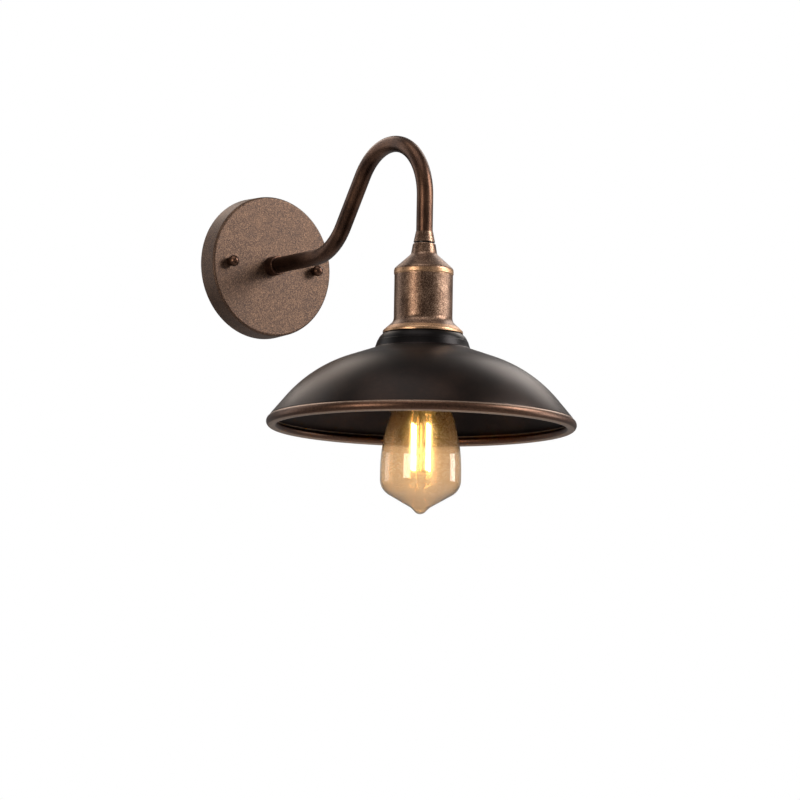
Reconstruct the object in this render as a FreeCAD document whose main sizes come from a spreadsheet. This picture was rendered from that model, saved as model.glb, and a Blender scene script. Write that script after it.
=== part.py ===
"""Gooseneck wall sconce: a round canopy, a bent tube arm, a socket cup and a spun dome shade.

Frame: the origin is the middle of the mounting bracket's back face, on the wall plane.
+Y points into the wall, +X runs along the wall to the right and +Z is up.
All sizes are millimetres, and every one that can be set by itself is a cell of the sheet.
"""
import FreeCAD, Part
import math
import os
import Sketcher

DOC = FreeCAD.newDocument("GooseneckSconce")
V = FreeCAD.Vector
SHEET = DOC.addObject("Spreadsheet::Sheet", "Sizes")

# name, size and what it is
DIMENSIONS = [
    # mounting bracket on the wall
    ("bracket_length", 104.0, "steel bar across the wall box"),
    ("bracket_width", 22.0, "height of the bar"),
    ("bracket_thickness", 2.0, "sheet of the bar"),
    ("bracket_corner", 3.0, "rounding of the bar's corners"),
    ("bracket_bore", 10.4, "middle hole for the house wires"),
    ("box_slot_spacing", 65.0, "middle to middle of the two wall box slots"),
    ("box_slot_length", 13.0, "whole length of a slot"),
    ("box_slot_width", 4.6, "width of a slot"),
    ("ear_width", 26.0, "upright ear that carries the terminal block"),
    ("ear_height", 24.0, "ear above the bar"),
    # studs and nuts that hold the canopy
    ("stud_spacing", 85.0, "middle to middle of the two canopy studs"),
    ("stud_diameter", 4.0, "outside of the stud thread"),
    ("stud_clearance", 0.25, "gap round a stud in the canopy"),
    ("stud_tip", 0.5, "chamfer at the tip of a stud"),
    ("stud_nut_width", 7.0, "across the flats of the lock nuts on the studs"),
    ("stud_nut_height", 3.2, "height of the lock nuts on the studs"),
    ("ball_nut_diameter", 9.4, "ball of the cap nut"),
    ("ball_nut_neck", 7.4, "diameter of the cap nut's neck"),
    ("ball_nut_height", 10.2, "cap nut from the canopy to the top of its ball"),
    ("ball_nut_bore_depth", 7.0, "depth of the thread in the cap nut"),
    # canopy
    ("canopy_diameter", 120.0, "rim of the canopy on the wall"),
    ("canopy_draft", 0.6, "how much smaller the front is in radius"),
    ("canopy_depth", 18.5, "wall to the front face"),
    ("canopy_wall", 1.2, "sheet of the canopy"),
    ("canopy_edge", 2.0, "rounding of the front edge"),
    # threaded pipes and their nuts
    ("pipe_diameter", 10.0, "outside of the threaded pipes"),
    ("pipe_bore", 7.4, "wire way through the threaded pipes"),
    ("pipe_clearance", 0.2, "gap round a threaded pipe in a plain hole"),
    ("pipe_nut_width", 14.0, "across the flats of the pipe nuts"),
    ("pipe_nut_height", 3.0, "height of a pipe nut"),
    ("lock_washer_diameter", 16.0, "toothed washer under the pipe nut"),
    ("lock_washer_thickness", 1.0, "toothed washer under the pipe nut"),
    ("foot_pipe_back", 2.0, "foot pipe behind its nut"),
    ("foot_pipe_grip", 16.0, "foot pipe in front of the canopy"),
    # arm
    ("collar_diameter", 16.4, "collar at the foot of the arm"),
    ("collar_length", 10.0, "collar along the arm"),
    ("collar_floor", 2.5, "collar floor between the canopy and the tube"),
    ("collar_edge", 0.8, "rounding of the collar's front edge"),
    ("collar_fit", 0.05, "gap round the tube in the collar"),
    ("tube_diameter", 13.4, "outside of the arm tube"),
    ("tube_wall", 1.2, "wall of the arm tube"),
    ("arm_reach", 240.0, "wall to the lamp axis"),
    ("arm_crown", 81.0, "top of the bent tube's middle line above its foot"),
    ("crown_bend", 49.0, "middle line radius over the crown"),
    ("foot_bend", 49.0, "middle line radius where the arm starts to climb"),
    ("rise_angle", 55.0, "climb of the straight between the bends, in degrees"),
    # ferrule and washer at the arm's end
    ("ferrule_drop", 6.0, "foot of the ferrule below the arm's foot"),
    ("ferrule_height", 8.6, "cone of the ferrule"),
    ("ferrule_top", 13.9, "diameter at the tube"),
    ("ferrule_foot", 17.4, "diameter at the washer"),
    ("ferrule_spigot", 7.0, "plug of the ferrule inside the tube"),
    ("ferrule_fit", 0.05, "gap round the spigot in the tube"),
    ("spacer_diameter", 15.4, "dark spacer under the ferrule"),
    ("spacer_thickness", 0.9, "dark spacer under the ferrule"),
    ("cup_nut_width", 13.2, "across the flats of the nut inside the cup"),
    # socket cup
    ("cup_height", 73.8, "whole cup"),
    ("cup_wall", 1.1, "sheet of the cup"),
    ("cup_fold", 1.6, "rounding of the top edge and of the lip"),
    ("cup_neck", 18.6, "diameter at the top of the neck"),
    ("cup_neck_height", 7.8, "top of the cup to the hollow under the neck"),
    ("cup_neck_slope", 80.0, "slope of the neck, in degrees"),
    ("cup_neck_bend", 4.0, "radius of the hollow under the neck"),
    ("cup_slope", 42.0, "slope of the shoulder and of the flare, in degrees"),
    ("cup_shoulder", 3.5, "rounding of the shoulder into the bead"),
    ("cup_bead", 48.2, "diameter of the bead round the shoulder"),
    ("cup_bead_height", 2.6, "straight band of the bead"),
    ("cup_bead_step", 0.8, "height of the step under the bead"),
    ("cup_body", 47.4, "diameter of the straight body"),
    ("cup_flare_bend", 7.0, "radius of the hollow over the flare"),
    ("cup_lip", 64.8, "diameter of the cup's lip"),
    ("cup_lip_height", 1.2, "straight edge of the lip"),
    ("cup_overlap", 1.3, "lip of the cup below the top of the shade"),
    # shade
    ("shade_diameter", 250.0, "widest line of the rim"),
    ("shade_wall", 1.0, "sheet of the shade"),
    ("neck_seat", 51.8, "flat of the shade's neck under the cup"),
    ("neck_round", 11.0, "rounding of the first step of the neck"),
    ("neck_slope", 72.0, "slope of the neck's steps, in degrees"),
    ("neck_step_one", 7.7, "height of the first step of the neck"),
    ("neck_step_two", 5.4, "height of the second step of the neck"),
    ("neck_ledge", 0.4, "how far the second step stands out"),
    ("neck_ledge_drop", 0.3, "height of the ledge between the steps"),
    ("neck_hollow", 1.6, "radius of the hollow between the neck and the dome"),
    ("dome_cone_share", 0.3196, "share of the dome's width that its top cone takes"),
    ("dome_side", 18.2, "straight side between the dome's round and the rim"),
    ("dome_top_slope", 19.0, "slope of the top cone, in degrees"),
    ("dome_side_slope", 50.0, "slope of the side above the rim, in degrees"),
    ("rim_roll", 4.5, "outer radius of the rolled rim"),
    ("rim_slope", 25.0, "slope where the rolled rim starts, in degrees"),
    ("rim_ledge", 0.7, "step between the dome and the rolled rim"),
    ("rim_crease", 1.5, "foot of the dome above the start of the rolled rim"),
    # lampholder
    ("holder_drop", 40.0, "top of the cup to the top of the lampholder"),
    ("holder_diameter", 39.2, "outside of the lampholder and its skirt"),
    ("holder_wall", 2.4, "moulded wall of the lampholder"),
    ("holder_cap_height", 25.0, "lampholder cap"),
    ("holder_boss", 16.0, "diameter of the boss on the cap"),
    ("holder_boss_height", 5.0, "boss above the cap's shoulder"),
    ("holder_flange", 50.0, "flange ring that sits on the shade's neck"),
    ("holder_flange_thickness", 2.4, "flange ring that sits on the shade's neck"),
    ("holder_skirt", 32.7, "skirt below the shade's seat"),
    ("holder_skirt_bore", 33.0, "inside of the skirt"),
    ("seat_clearance", 0.5, "gap round the skirt in the shade's seat"),
    ("core_height", 12.0, "ceramic core"),
    ("contact_drop", 3.0, "ceramic core to the bulb's foot contact"),
    ("core_fit", 0.1, "gap round the ceramic core"),
    ("shell_bore", 26.8, "inside of the screw shell"),
    ("shell_wall", 0.4, "sheet of the screw shell"),
    ("shell_height", 24.0, "screw shell"),
    ("shell_window", 14.0, "hole for the middle contact in the screw shell"),
    ("contact_width", 6.0, "spring contact in the lampholder"),
    ("contact_margin", 1.0, "gap between the spring contact and the edge of the window"),
    ("contact_sheet", 0.5, "spring contact in the lampholder"),
    ("contact_gap", 0.2, "gap between the spring contact and the bulb"),
    ("ring_diameter", 51.6, "shade ring under the seat"),
    ("ring_height", 8.0, "shade ring"),
    ("ring_flange", 2.2, "flange of the shade ring"),
    ("ring_hub", 46.0, "hub of the shade ring"),
    ("ring_clearance", 0.15, "gap round the skirt in the shade ring"),
    ("ring_grip", 3.0, "diameter of a grip notch in the shade ring"),
    ("ring_grips", 12.0, "number of grip notches"),
    # bulb
    ("bulb_length", 140.0, "foot contact to the tip"),
    ("bulb_diameter", 65.2, "widest line of the glass"),
    ("bulb_wall", 0.9, "glass"),
    ("bulb_cap_diameter", 26.1, "threaded cap"),
    ("bulb_cap_sheet", 0.35, "sheet of the threaded cap"),
    ("bulb_cap_height", 21.5, "threaded cap"),
    ("bulb_cap_curl", 1.0, "rounding of the threaded cap's top edge"),
    ("bulb_contact_diameter", 9.4, "foot contact"),
    ("bulb_contact_height", 1.5, "foot contact"),
    ("bulb_insulator_height", 3.0, "black glass between the cap and the contact"),
    ("bulb_foot_gap", 0.1, "gap between the foot and the cap"),
    ("bulb_neck_step", 0.5, "how much slimmer the glass is inside the cap"),
    ("bulb_neck_tail", 5.0, "glass inside the cap"),
    ("bulb_neck_bend", 56.0, "radius of the hollow below the neck"),
    ("bulb_side_bend", 150.0, "radius of the long side"),
    ("bulb_side_slope", 64.0, "slope where the hollow turns into the side, in degrees"),
    ("bulb_neck_slope", 79.0, "slope of the glass at the cap, in degrees"),
    ("bulb_shoulder", 14.0, "radius of the low shoulder"),
    ("bulb_floor_slope", 30.0, "slope of the floor towards the tip, in degrees"),
    ("bulb_pip_diameter", 15.0, "pip at the tip"),
    ("bulb_pip_height", 5.2, "pip at the tip"),
    ("bulb_pip_taper", 0.6, "radius of the pip's ball as a share of the pip's"),
    ("stem_height", 39.0, "glass stem inside the bulb"),
    ("stem_flare", 11.0, "height of the stem's flare"),
    ("stem_diameter", 7.0, "stem"),
    ("stem_gap", 7.0, "stem to the top of the rods"),
    ("filament_length", 38.0, "light rod"),
    ("filament_diameter", 2.0, "light rod"),
    ("filament_circle", 17.0, "circle on which the rods stand"),
    ("filament_count", 4.0, "number of rods"),
    ("wire_ring", 0.8, "thickness of the wires that carry the rods"),
    # leads and terminals
    ("lead_diameter", 2.2, "insulated lead"),
    ("lead_clearance", 0.2, "gap round a lead in a terminal"),
    ("lead_offset", 1.6, "lead beside the arm's middle line"),
    ("block_length", 25.0, "terminal block across the ear"),
    ("block_height", 15.0, "terminal block up the ear"),
    ("block_depth", 11.0, "terminal block off the ear"),
    ("block_margin", 0.5, "top of the ear above the block"),
    ("block_screw_diameter", 2.5, "screws that fix the block"),
    ("pole_pitch", 8.5, "middle to middle of the poles"),
    ("barrel_diameter", 4.6, "brass barrel in the block"),
    ("barrel_bore", 2.5, "wire way in the barrel"),
    ("clamp_screw_diameter", 2.6, "clamping screw"),
    ("clamp_screw_sink", 0.5, "how deep the clamping screws stand in the block"),
    ("terminal_spread", 9.0, "lampholder terminals beside the axis"),
    ("terminal_height", 5.0, "lampholder terminal above the core"),
    ("terminal_width", 5.6, "lampholder terminal"),
    ("terminal_screw_diameter", 2.4, "screw of a lampholder terminal"),
    ("terminal_screw_head", 1.2, "height of that screw's head"),
    ("ground_screw_diameter", 4.0, "ground screw thread"),
    ("ground_screw_place", 15.0, "ground screw beside the middle of the bar"),
    ("ground_screw_drop", 5.0, "ground screw below the middle of the bar"),
    ("ground_screw_head", 2.6, "height of the ground screw's head"),
    ("lug_thickness", 1.0, "sheet of the ground lug"),
    ("lug_barrel", 6.0, "barrel of the ground lug"),
    ("lug_gap", 0.5, "gap between the barrel and the screw's head"),
    ("lead_bend", 6.5, "middle line radius of a lead behind the foot pipe"),
    ("joggle_share", 0.95, "share of its height that the bends of a sidestep take"),
    ("lead_straight", 1.0, "straight lead outside a terminal"),
]


class Size:
    """A size that knows its number and the sheet formula that it comes from."""

    def __init__(self, number, formula=None):
        self.number = float(number)
        self.formula = formula or "(%.9f)" % number

    def _with(self, other, sign, number):
        other = as_size(other)
        return Size(number(self.number, other.number), "(%s %s %s)" % (self.formula, sign, other.formula))

    def __add__(self, other):
        return self._with(other, "+", lambda a, b: a + b)

    def __sub__(self, other):
        return self._with(other, "-", lambda a, b: a - b)

    def __mul__(self, other):
        return self._with(other, "*", lambda a, b: a * b)

    def __truediv__(self, other):
        return self._with(other, "/", lambda a, b: a / b)

    def __neg__(self):
        return Size(0) - self

    __radd__ = __add__

    def __rsub__(self, other):
        return as_size(other) - self

    __rmul__ = __mul__


def as_size(value):
    return value if isinstance(value, Size) else Size(value)


def sine(angle):
    return Size(math.sin(math.radians(angle.number)), "sin(%s * 1 deg)" % angle.formula)


def cosine(angle):
    return Size(math.cos(math.radians(angle.number)), "cos(%s * 1 deg)" % angle.formula)


def tangent(angle):
    return sine(angle) / cosine(angle)


class Sizes:
    """Reads the sheet: every attribute is a Size bound to the cell of that name."""

    def __init__(self, dimensions):
        for row, (name, number, meaning) in enumerate(dimensions, start=1):
            SHEET.set("A%d" % row, name)
            SHEET.set("B%d" % row, str(number))
            SHEET.set("C%d" % row, meaning)
            SHEET.setAlias("B%d" % row, name)
        DOC.recompute()

    def __getattr__(self, name):
        return Size(SHEET.get(name), "Sizes." + name)


S = Sizes(DIMENSIONS)
ZERO = Size(0)
PARTS = []

# Turns local +Z away from the wall and keeps local +Y upright.
OFF_THE_WALL = FreeCAD.Rotation(V(1, 0, 0), 90)


def root(size):
    return Size(math.sqrt(size.number), "sqrt(%s)" % size.formula)


def keep(part):
    """Notes a finished sub-part for the export."""
    PARTS.append(part)
    return part


def bind(thing, name, size):
    """Sets a property and ties it to the sheet."""
    setattr(thing, name, size.number)
    thing.setExpression(name, size.formula)


def place(part, x=ZERO, y=ZERO, z=ZERO, turn=None):
    """Puts a part at a place tied to the sheet."""
    part.Placement = FreeCAD.Placement(V(x.number, y.number, z.number), turn or FreeCAD.Rotation())
    for axis, size in (("x", x), ("y", y), ("z", z)):
        part.setExpression("Placement.Base." + axis, size.formula)
    return part


def start_body(label):
    body = DOC.addObject("PartDesign::Body", label)
    body.Label = label
    return body


def start_sketch(body, role, name, lift=None):
    """Opens a sketch on one of the body's own origin planes, or lifted off it along its normal."""
    sketch = body.newObject("Sketcher::SketchObject", name)
    plane = [feature for feature in body.Origin.OriginFeatures if feature.Role == role][0]
    sketch.AttachmentSupport = [(plane, "")]
    sketch.MapMode = "FlatFace"
    if lift is not None:
        sketch.AttachmentOffset = FreeCAD.Placement(V(0, 0, lift.number), FreeCAD.Rotation())
        sketch.setExpression("AttachmentOffset.Base.z", lift.formula)
    return sketch


def tie(sketch, kind, size, *where):
    """Adds one dimension to a sketch and ties it to the sheet."""
    index = sketch.addConstraint(Sketcher.Constraint(kind, *where, size.number))
    sketch.setExpression("Constraints[%d]" % index, size.formula)


def pin(sketch, edge, end, x, y):
    """Ties one end of an edge to a place measured from the sketch's origin."""
    tie(sketch, "DistanceX", x, -1, 1, edge, end)
    tie(sketch, "DistanceY", y, -1, 1, edge, end)


def edge_between(start, finish, radius):
    """Gives a line, or the arc that turns left for a positive radius and right for a negative one."""
    if radius is None:
        return Part.LineSegment(start, finish), 1, 2
    size = abs(radius.number)
    chord = finish - start
    reach = math.sqrt(max(size ** 2 - chord.Length ** 2 / 4, 0))
    left = V(-chord.y, chord.x, 0).normalize()
    centre = (start + finish) / 2 + left * math.copysign(reach, radius.number)
    ends = (start, finish) if radius.number > 0 else (finish, start)
    angles = [math.atan2(point.y - centre.y, point.x - centre.x) for point in ends]
    arc = Part.ArcOfCircle(Part.Circle(centre, V(0, 0, 1), size), angles[0], angles[1])
    return arc, (1 if radius.number > 0 else 2), (2 if radius.number > 0 else 1)


def draw(sketch, corners, closed=True):
    """Draws an outline. A corner is (x, y) or (x, y, radius of the arc that leaves it)."""
    corners = [(as_size(c[0]), as_size(c[1]), c[2] if len(c) > 2 else None) for c in corners]
    count = len(corners) if closed else len(corners) - 1
    edges = []
    for index in range(count):
        x, y, radius = corners[index]
        next_x, next_y, _ = corners[(index + 1) % len(corners)]
        start = V(x.number, y.number, 0)
        finish = V(next_x.number, next_y.number, 0)
        geometry, first, last = edge_between(start, finish, radius)
        edge = sketch.addGeometry(geometry, False)
        edges.append((edge, first, last))
        pin(sketch, edge, first, x, y)
        if radius is not None:
            tie(sketch, "Radius", radius if radius.number > 0 else -radius, edge)
    for index in range(count if closed else count - 1):
        edge, _, last = edges[index]
        next_edge, first, _ = edges[(index + 1) % count]
        sketch.addConstraint(Sketcher.Constraint("Coincident", edge, last, next_edge, first))
    if not closed:
        edge, _, last = edges[-1]
        pin(sketch, edge, last, corners[-1][0], corners[-1][1])


def draw_circle(sketch, x, y, diameter):
    middle = V(as_size(x).number, as_size(y).number, 0)
    circle = sketch.addGeometry(Part.Circle(middle, V(0, 0, 1), diameter.number / 2), False)
    pin(sketch, circle, 3, as_size(x), as_size(y))
    tie(sketch, "Diameter", diameter, circle)


def revolve(label, corners):
    """Turns an outline of (radius, height) corners round the body's Z axis."""
    body = start_body(label)
    sketch = start_sketch(body, "XZ_Plane", label + "_outline")
    draw(sketch, corners)
    turned = body.newObject("PartDesign::Revolution", label + "_turned")
    turned.Profile = sketch
    turned.ReferenceAxis = (sketch, ["V_Axis"])
    turned.Angle = 360
    sketch.Visibility = False
    return body


def pad(body, sketch, height, middle=False):
    """Raises a sketch, to both sides of its plane where middle is set."""
    raised = body.newObject("PartDesign::Pad", sketch.Name + "_raised")
    raised.Profile = sketch
    bind(raised, "Length", height)
    raised.Midplane = middle
    return raised


def cut_through(body, sketch):
    """Cuts a sketch all the way through the body, both ways from its plane."""
    cut = body.newObject("PartDesign::Pocket", sketch.Name + "_cut")
    cut.Profile = sketch
    cut.Type = "ThroughAll"
    cut.Midplane = True
    return cut


def cut_up(body, sketch, height):
    """Cuts a sketch along its plane's normal."""
    cut = body.newObject("PartDesign::Pocket", sketch.Name + "_cut")
    cut.Profile = sketch
    cut.Reversed = True
    bind(cut, "Length", height)
    return cut


def repeat_round(body, feature, count):
    """Repeats a feature evenly round the body's Z axis."""
    pattern = body.newObject("PartDesign::PolarPattern", feature.Name + "_round")
    pattern.Originals = [feature]
    axis = [item for item in body.Origin.OriginFeatures if item.Role == "Z_Axis"][0]
    pattern.Axis = (axis, [""])
    pattern.Angle = 360
    pattern.Occurrences = int(count.number)
    pattern.setExpression("Occurrences", count.formula)
    body.Tip = pattern
    return pattern


def tube(label, bore, outside, length):
    inner = bore / 2
    outer = outside / 2
    return revolve(label, [(inner, ZERO), (outer, ZERO), (outer, length), (inner, length)])


def nut(label, width, bore, height):
    """A hexagon nut standing on its body's XY plane."""
    body = start_body(label)
    sketch = start_sketch(body, "XY_Plane", label + "_outline")
    corner = width / (2 * math.cos(math.radians(30)))
    turns = [(math.cos(math.radians(60 * side)), math.sin(math.radians(60 * side))) for side in range(6)]
    draw(sketch, [(corner * x, corner * y) for x, y in turns])
    draw_circle(sketch, ZERO, ZERO, bore)
    pad(body, sketch, height)
    return body


def pair(label, part):
    """Two of one piece, mirrored across the lamp's middle plane, as one sub-part."""
    twin = DOC.addObject("Part::Mirroring", label + "_twin")
    twin.Source = part
    twin.Normal = V(1, 0, 0)
    both = DOC.addObject("Part::Compound", label)
    both.Label = label
    both.Links = [part, twin]
    return keep(both)


def sheet_outline(stations, wall):
    """The outline of a spun sheet, from its outer line and its wall.

    A station is (radius, height, slope, bend): slope is the outer line's fall in degrees, and bend is
    the radius of the arc to the next station, positive where the sheet bulges out and negative where
    it is hollow. The inner line is offset squarely by the wall.
    """
    outer = []
    inner = []
    for radius, height, slope, bend in stations:
        slope = as_size(slope)
        outer.append((radius, height, None if bend is None else -bend))
        inner.append((radius - wall * sine(slope), height - wall * cosine(slope), bend))
    back = [inner[-1][:2]]
    for radius, height, bend in reversed(inner[:-1]):
        back[-1] = back[-1] + (None if bend is None else bend - wall,)
        back.append((radius, height))
    return outer + back


def shade_stations():
    """The outer line of the shade, from its seat down to the rim rolled inwards, above the rim's foot."""
    steep = S.neck_slope
    high = S.dome_top_slope
    low = S.dome_side_slope
    rim = S.shade_diameter / 2
    roll = S.rim_roll
    seat = S.neck_seat / 2
    lean = cosine(steep) / sine(steep)
    # stepped neck: radii, and depths below the seat
    first_r = seat + S.neck_round * sine(steep)
    first_depth = S.neck_round * (1 - cosine(steep))
    ledge_depth = S.neck_step_one
    ledge_r = first_r + (ledge_depth - first_depth) * lean
    second_depth = ledge_depth + S.neck_ledge_drop
    second_r = ledge_r + S.neck_ledge
    hollow_depth = ledge_depth + S.neck_step_two
    hollow_r = second_r + (hollow_depth - second_depth) * lean
    cone_r = hollow_r + S.neck_hollow * (sine(steep) - sine(high))
    cone_depth = hollow_depth + S.neck_hollow * (cosine(high) - cosine(steep))
    # dome: the cone and the round share the width between the neck and the straight side
    roll_r = rim - roll * (1 - sine(S.rim_slope))
    crease_r = roll_r - S.rim_ledge
    side_r = crease_r - S.dome_side * cosine(low)
    round_r = cone_r + (side_r - cone_r) * S.dome_cone_share
    dome_round = (side_r - round_r) / (sine(low) - sine(high))
    round_depth = cone_depth + (round_r - cone_r) * tangent(high)
    side_depth = round_depth + dome_round * (cosine(high) - cosine(low))
    crease_depth = side_depth + S.dome_side * sine(low)
    # rolled rim
    roll_z = roll + roll * cosine(S.rim_slope)
    top = crease_depth + S.rim_crease + roll_z
    return [
        (S.holder_diameter / 2 + S.seat_clearance, top, 0, None),
        (seat, top, 0, S.neck_round),
        (first_r, top - first_depth, steep, None),
        (ledge_r, top - ledge_depth, steep, None),
        (second_r, top - second_depth, steep, None),
        (hollow_r, top - hollow_depth, steep, -S.neck_hollow),
        (cone_r, top - cone_depth, high, None),
        (round_r, top - round_depth, high, dome_round),
        (side_r, top - side_depth, low, None),
        (crease_r, top - crease_depth, low, None),
        (roll_r, roll_z, S.rim_slope, roll),
        (rim, roll, 90, roll),
        (rim - roll, ZERO, 180, roll),
        (rim - roll * 2, roll, 270, None),
    ]


SHADE_HEIGHT = shade_stations()[0][1]
# Heights of the lamp head, measured from the arm's foot line.
FERRULE_Z = -S.ferrule_drop
CUP_TOP_Z = FERRULE_Z - S.spacer_thickness
CUP_FOOT_Z = CUP_TOP_Z - S.cup_height
SEAT_Z = CUP_FOOT_Z + S.cup_overlap
RIM_Z = SEAT_Z - SHADE_HEIGHT
HOLDER_TOP_Z = CUP_TOP_Z - S.holder_drop
CORE_TOP_Z = HOLDER_TOP_Z - S.holder_cap_height
CORE_FOOT_Z = CORE_TOP_Z - S.core_height
SKIRT_FOOT_Z = SEAT_Z - S.holder_skirt
BULB_FOOT_Z = CORE_FOOT_Z - S.contact_drop
BULB_TIP_Z = BULB_FOOT_Z - S.bulb_length
CAP_TOP_Z = BULB_FOOT_Z - S.bulb_contact_height - S.bulb_insulator_height - S.bulb_foot_gap
CAP_FOOT_Z = CAP_TOP_Z - S.bulb_cap_height
LUG_REACH = S.ground_screw_diameter + S.lug_gap
POLES = (-1, 0, 1)
BLOCK_Z = S.bracket_width / 2 + S.ear_height - S.block_margin - S.block_height / 2


def on_lamp_axis(part, height):
    return place(part, ZERO, -S.arm_reach, height)


def off_wall(part, distance, x=ZERO, z=ZERO):
    return place(part, x, -distance, z, OFF_THE_WALL)


# ---- wall side ----


def make_bracket():
    """The steel bar on the wall box, with an ear for the terminal block."""
    half = S.bracket_length / 2
    side = S.bracket_width / 2
    ear = S.ear_width / 2
    top = side + S.ear_height
    round_ = S.bracket_corner
    body = start_body("mounting_bracket")
    outline = start_sketch(body, "XY_Plane", "bracket_outline")
    draw(outline, [
        (-half + round_, -side), (half - round_, -side, round_),
        (half, -side + round_), (half, side - round_, round_),
        (half - round_, side), (ear, side),
        (ear, top - round_, round_), (ear - round_, top),
        (-ear + round_, top, round_), (-ear, top - round_),
        (-ear, side), (-half + round_, side, round_),
        (-half, side - round_), (-half, -side + round_, round_),
    ])
    pad(body, outline, S.bracket_thickness)
    holes = start_sketch(body, "XY_Plane", "bracket_holes")
    draw_circle(holes, ZERO, ZERO, S.bracket_bore)
    draw_circle(holes, S.stud_spacing / 2, ZERO, S.stud_diameter)
    draw_circle(holes, -S.stud_spacing / 2, ZERO, S.stud_diameter)
    draw_circle(holes, S.ground_screw_place, -S.ground_screw_drop, S.ground_screw_diameter)
    for sign in (1, -1):
        draw_circle(holes, S.pole_pitch / 2 * sign, BLOCK_Z, S.block_screw_diameter)
    cut_through(body, holes)
    slots = start_sketch(body, "XY_Plane", "bracket_slots")
    reach = (S.box_slot_length - S.box_slot_width) / 2
    end = S.box_slot_width / 2
    for sign in (1, -1):
        middle = S.box_slot_spacing / 2 * sign
        draw(slots, [
            (middle - reach, -end), (middle + reach, -end, end),
            (middle + reach + end, ZERO, end), (middle + reach, end),
            (middle - reach, end, end), (middle - reach - end, ZERO, end),
        ])
    cut_through(body, slots)
    return keep(off_wall(body, ZERO))


def make_studs():
    """Two threaded studs from the bracket into the cap nuts, with a lock nut on each."""
    radius = S.stud_diameter / 2
    length = S.canopy_depth + S.ball_nut_bore_depth - S.stud_tip
    stud = revolve("canopy_stud", [
        (ZERO, ZERO), (radius, ZERO), (radius, length - S.stud_tip),
        (radius - S.stud_tip, length), (ZERO, length),
    ])
    pair("canopy_studs", off_wall(stud, ZERO, S.stud_spacing / 2))
    lock = nut("stud_lock_nut", S.stud_nut_width, S.stud_diameter, S.stud_nut_height)
    pair("stud_lock_nuts", off_wall(lock, S.bracket_thickness, S.stud_spacing / 2))


def make_ball_nuts():
    """Turned cap nuts: a short neck that ends in a ball."""
    ball = S.ball_nut_diameter / 2
    neck = S.ball_nut_neck / 2
    bore = S.stud_diameter / 2
    middle = S.ball_nut_height - ball
    nut_body = revolve("ball_cap_nut", [
        (bore, ZERO), (neck, ZERO), (neck, middle - root(ball * ball - neck * neck), ball),
        (ball, middle, ball), (ZERO, S.ball_nut_height),
        (ZERO, S.ball_nut_bore_depth), (bore, S.ball_nut_bore_depth),
    ])
    pair("ball_cap_nuts", off_wall(nut_body, S.canopy_depth, S.stud_spacing / 2))


def make_canopy():
    """The round cover on the wall: a shallow drawn cup, open to the wall."""
    rim = S.canopy_diameter / 2
    front = rim - S.canopy_draft
    hole = S.pipe_diameter / 2 + S.pipe_clearance
    edge = S.canopy_edge
    wall = S.canopy_wall
    body = revolve("canopy", [
        (hole, S.canopy_depth), (front - edge, S.canopy_depth, -edge),
        (front, S.canopy_depth - edge), (rim, ZERO),
        (rim - wall, ZERO), (front - wall, S.canopy_depth - edge, edge - wall),
        (front - edge, S.canopy_depth - wall), (hole, S.canopy_depth - wall),
    ])
    holes = start_sketch(body, "XY_Plane", "canopy_holes")
    for sign in (1, -1):
        draw_circle(holes, S.stud_spacing / 2 * sign, ZERO, S.stud_diameter + S.stud_clearance * 2)
    cut_through(body, holes)
    keep(off_wall(body, ZERO))


def make_foot_pipe():
    """The threaded pipe through the canopy, with its washer and nut inside."""
    inside = S.canopy_depth - S.canopy_wall
    behind_nut = inside - S.lock_washer_thickness - S.pipe_nut_height
    start = behind_nut - S.foot_pipe_back
    length = S.canopy_depth - start + S.foot_pipe_grip
    keep(off_wall(tube("foot_pipe", S.pipe_bore, S.pipe_diameter, length), start))
    washer_bore = S.pipe_diameter + S.pipe_clearance * 2
    washer = tube("lock_washer", washer_bore, S.lock_washer_diameter, S.lock_washer_thickness)
    keep(off_wall(washer, inside - S.lock_washer_thickness))
    foot_nut = nut("foot_pipe_nut", S.pipe_nut_width, S.pipe_diameter, S.pipe_nut_height)
    keep(off_wall(foot_nut, behind_nut))


def make_collar():
    """The collar that the arm's foot is brazed into, screwed on the foot pipe."""
    bore = S.pipe_diameter / 2
    outer = S.collar_diameter / 2
    socket = S.tube_diameter / 2 + S.collar_fit
    body = revolve("arm_collar", [
        (bore, ZERO), (outer, ZERO), (outer, S.collar_length - S.collar_edge, S.collar_edge),
        (outer - S.collar_edge, S.collar_length), (socket, S.collar_length),
        (socket, S.collar_floor), (bore, S.collar_floor),
    ])
    keep(off_wall(body, S.canopy_depth))


# ---- arm ----


def arm_line():
    """The corners of the arm's middle line, as (Y, Z) places from its foot end."""
    reach = S.arm_reach - S.canopy_depth - S.collar_floor
    climb = S.rise_angle
    crown_y = -reach + S.crown_bend
    crown_z = S.arm_crown - S.crown_bend
    top_y = crown_y + S.crown_bend * sine(climb)
    top_z = crown_z + S.crown_bend * cosine(climb)
    low_z = S.foot_bend * (1 - cosine(climb))
    low_y = top_y + (top_z - low_z) / tangent(climb)
    return [
        (ZERO, ZERO),
        (low_y + S.foot_bend * sine(climb), ZERO, -S.foot_bend),
        (low_y, low_z),
        (top_y, top_z, S.crown_bend),
        (-reach, crown_z),
        (-reach, FERRULE_Z + S.ferrule_height),
    ]


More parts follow.
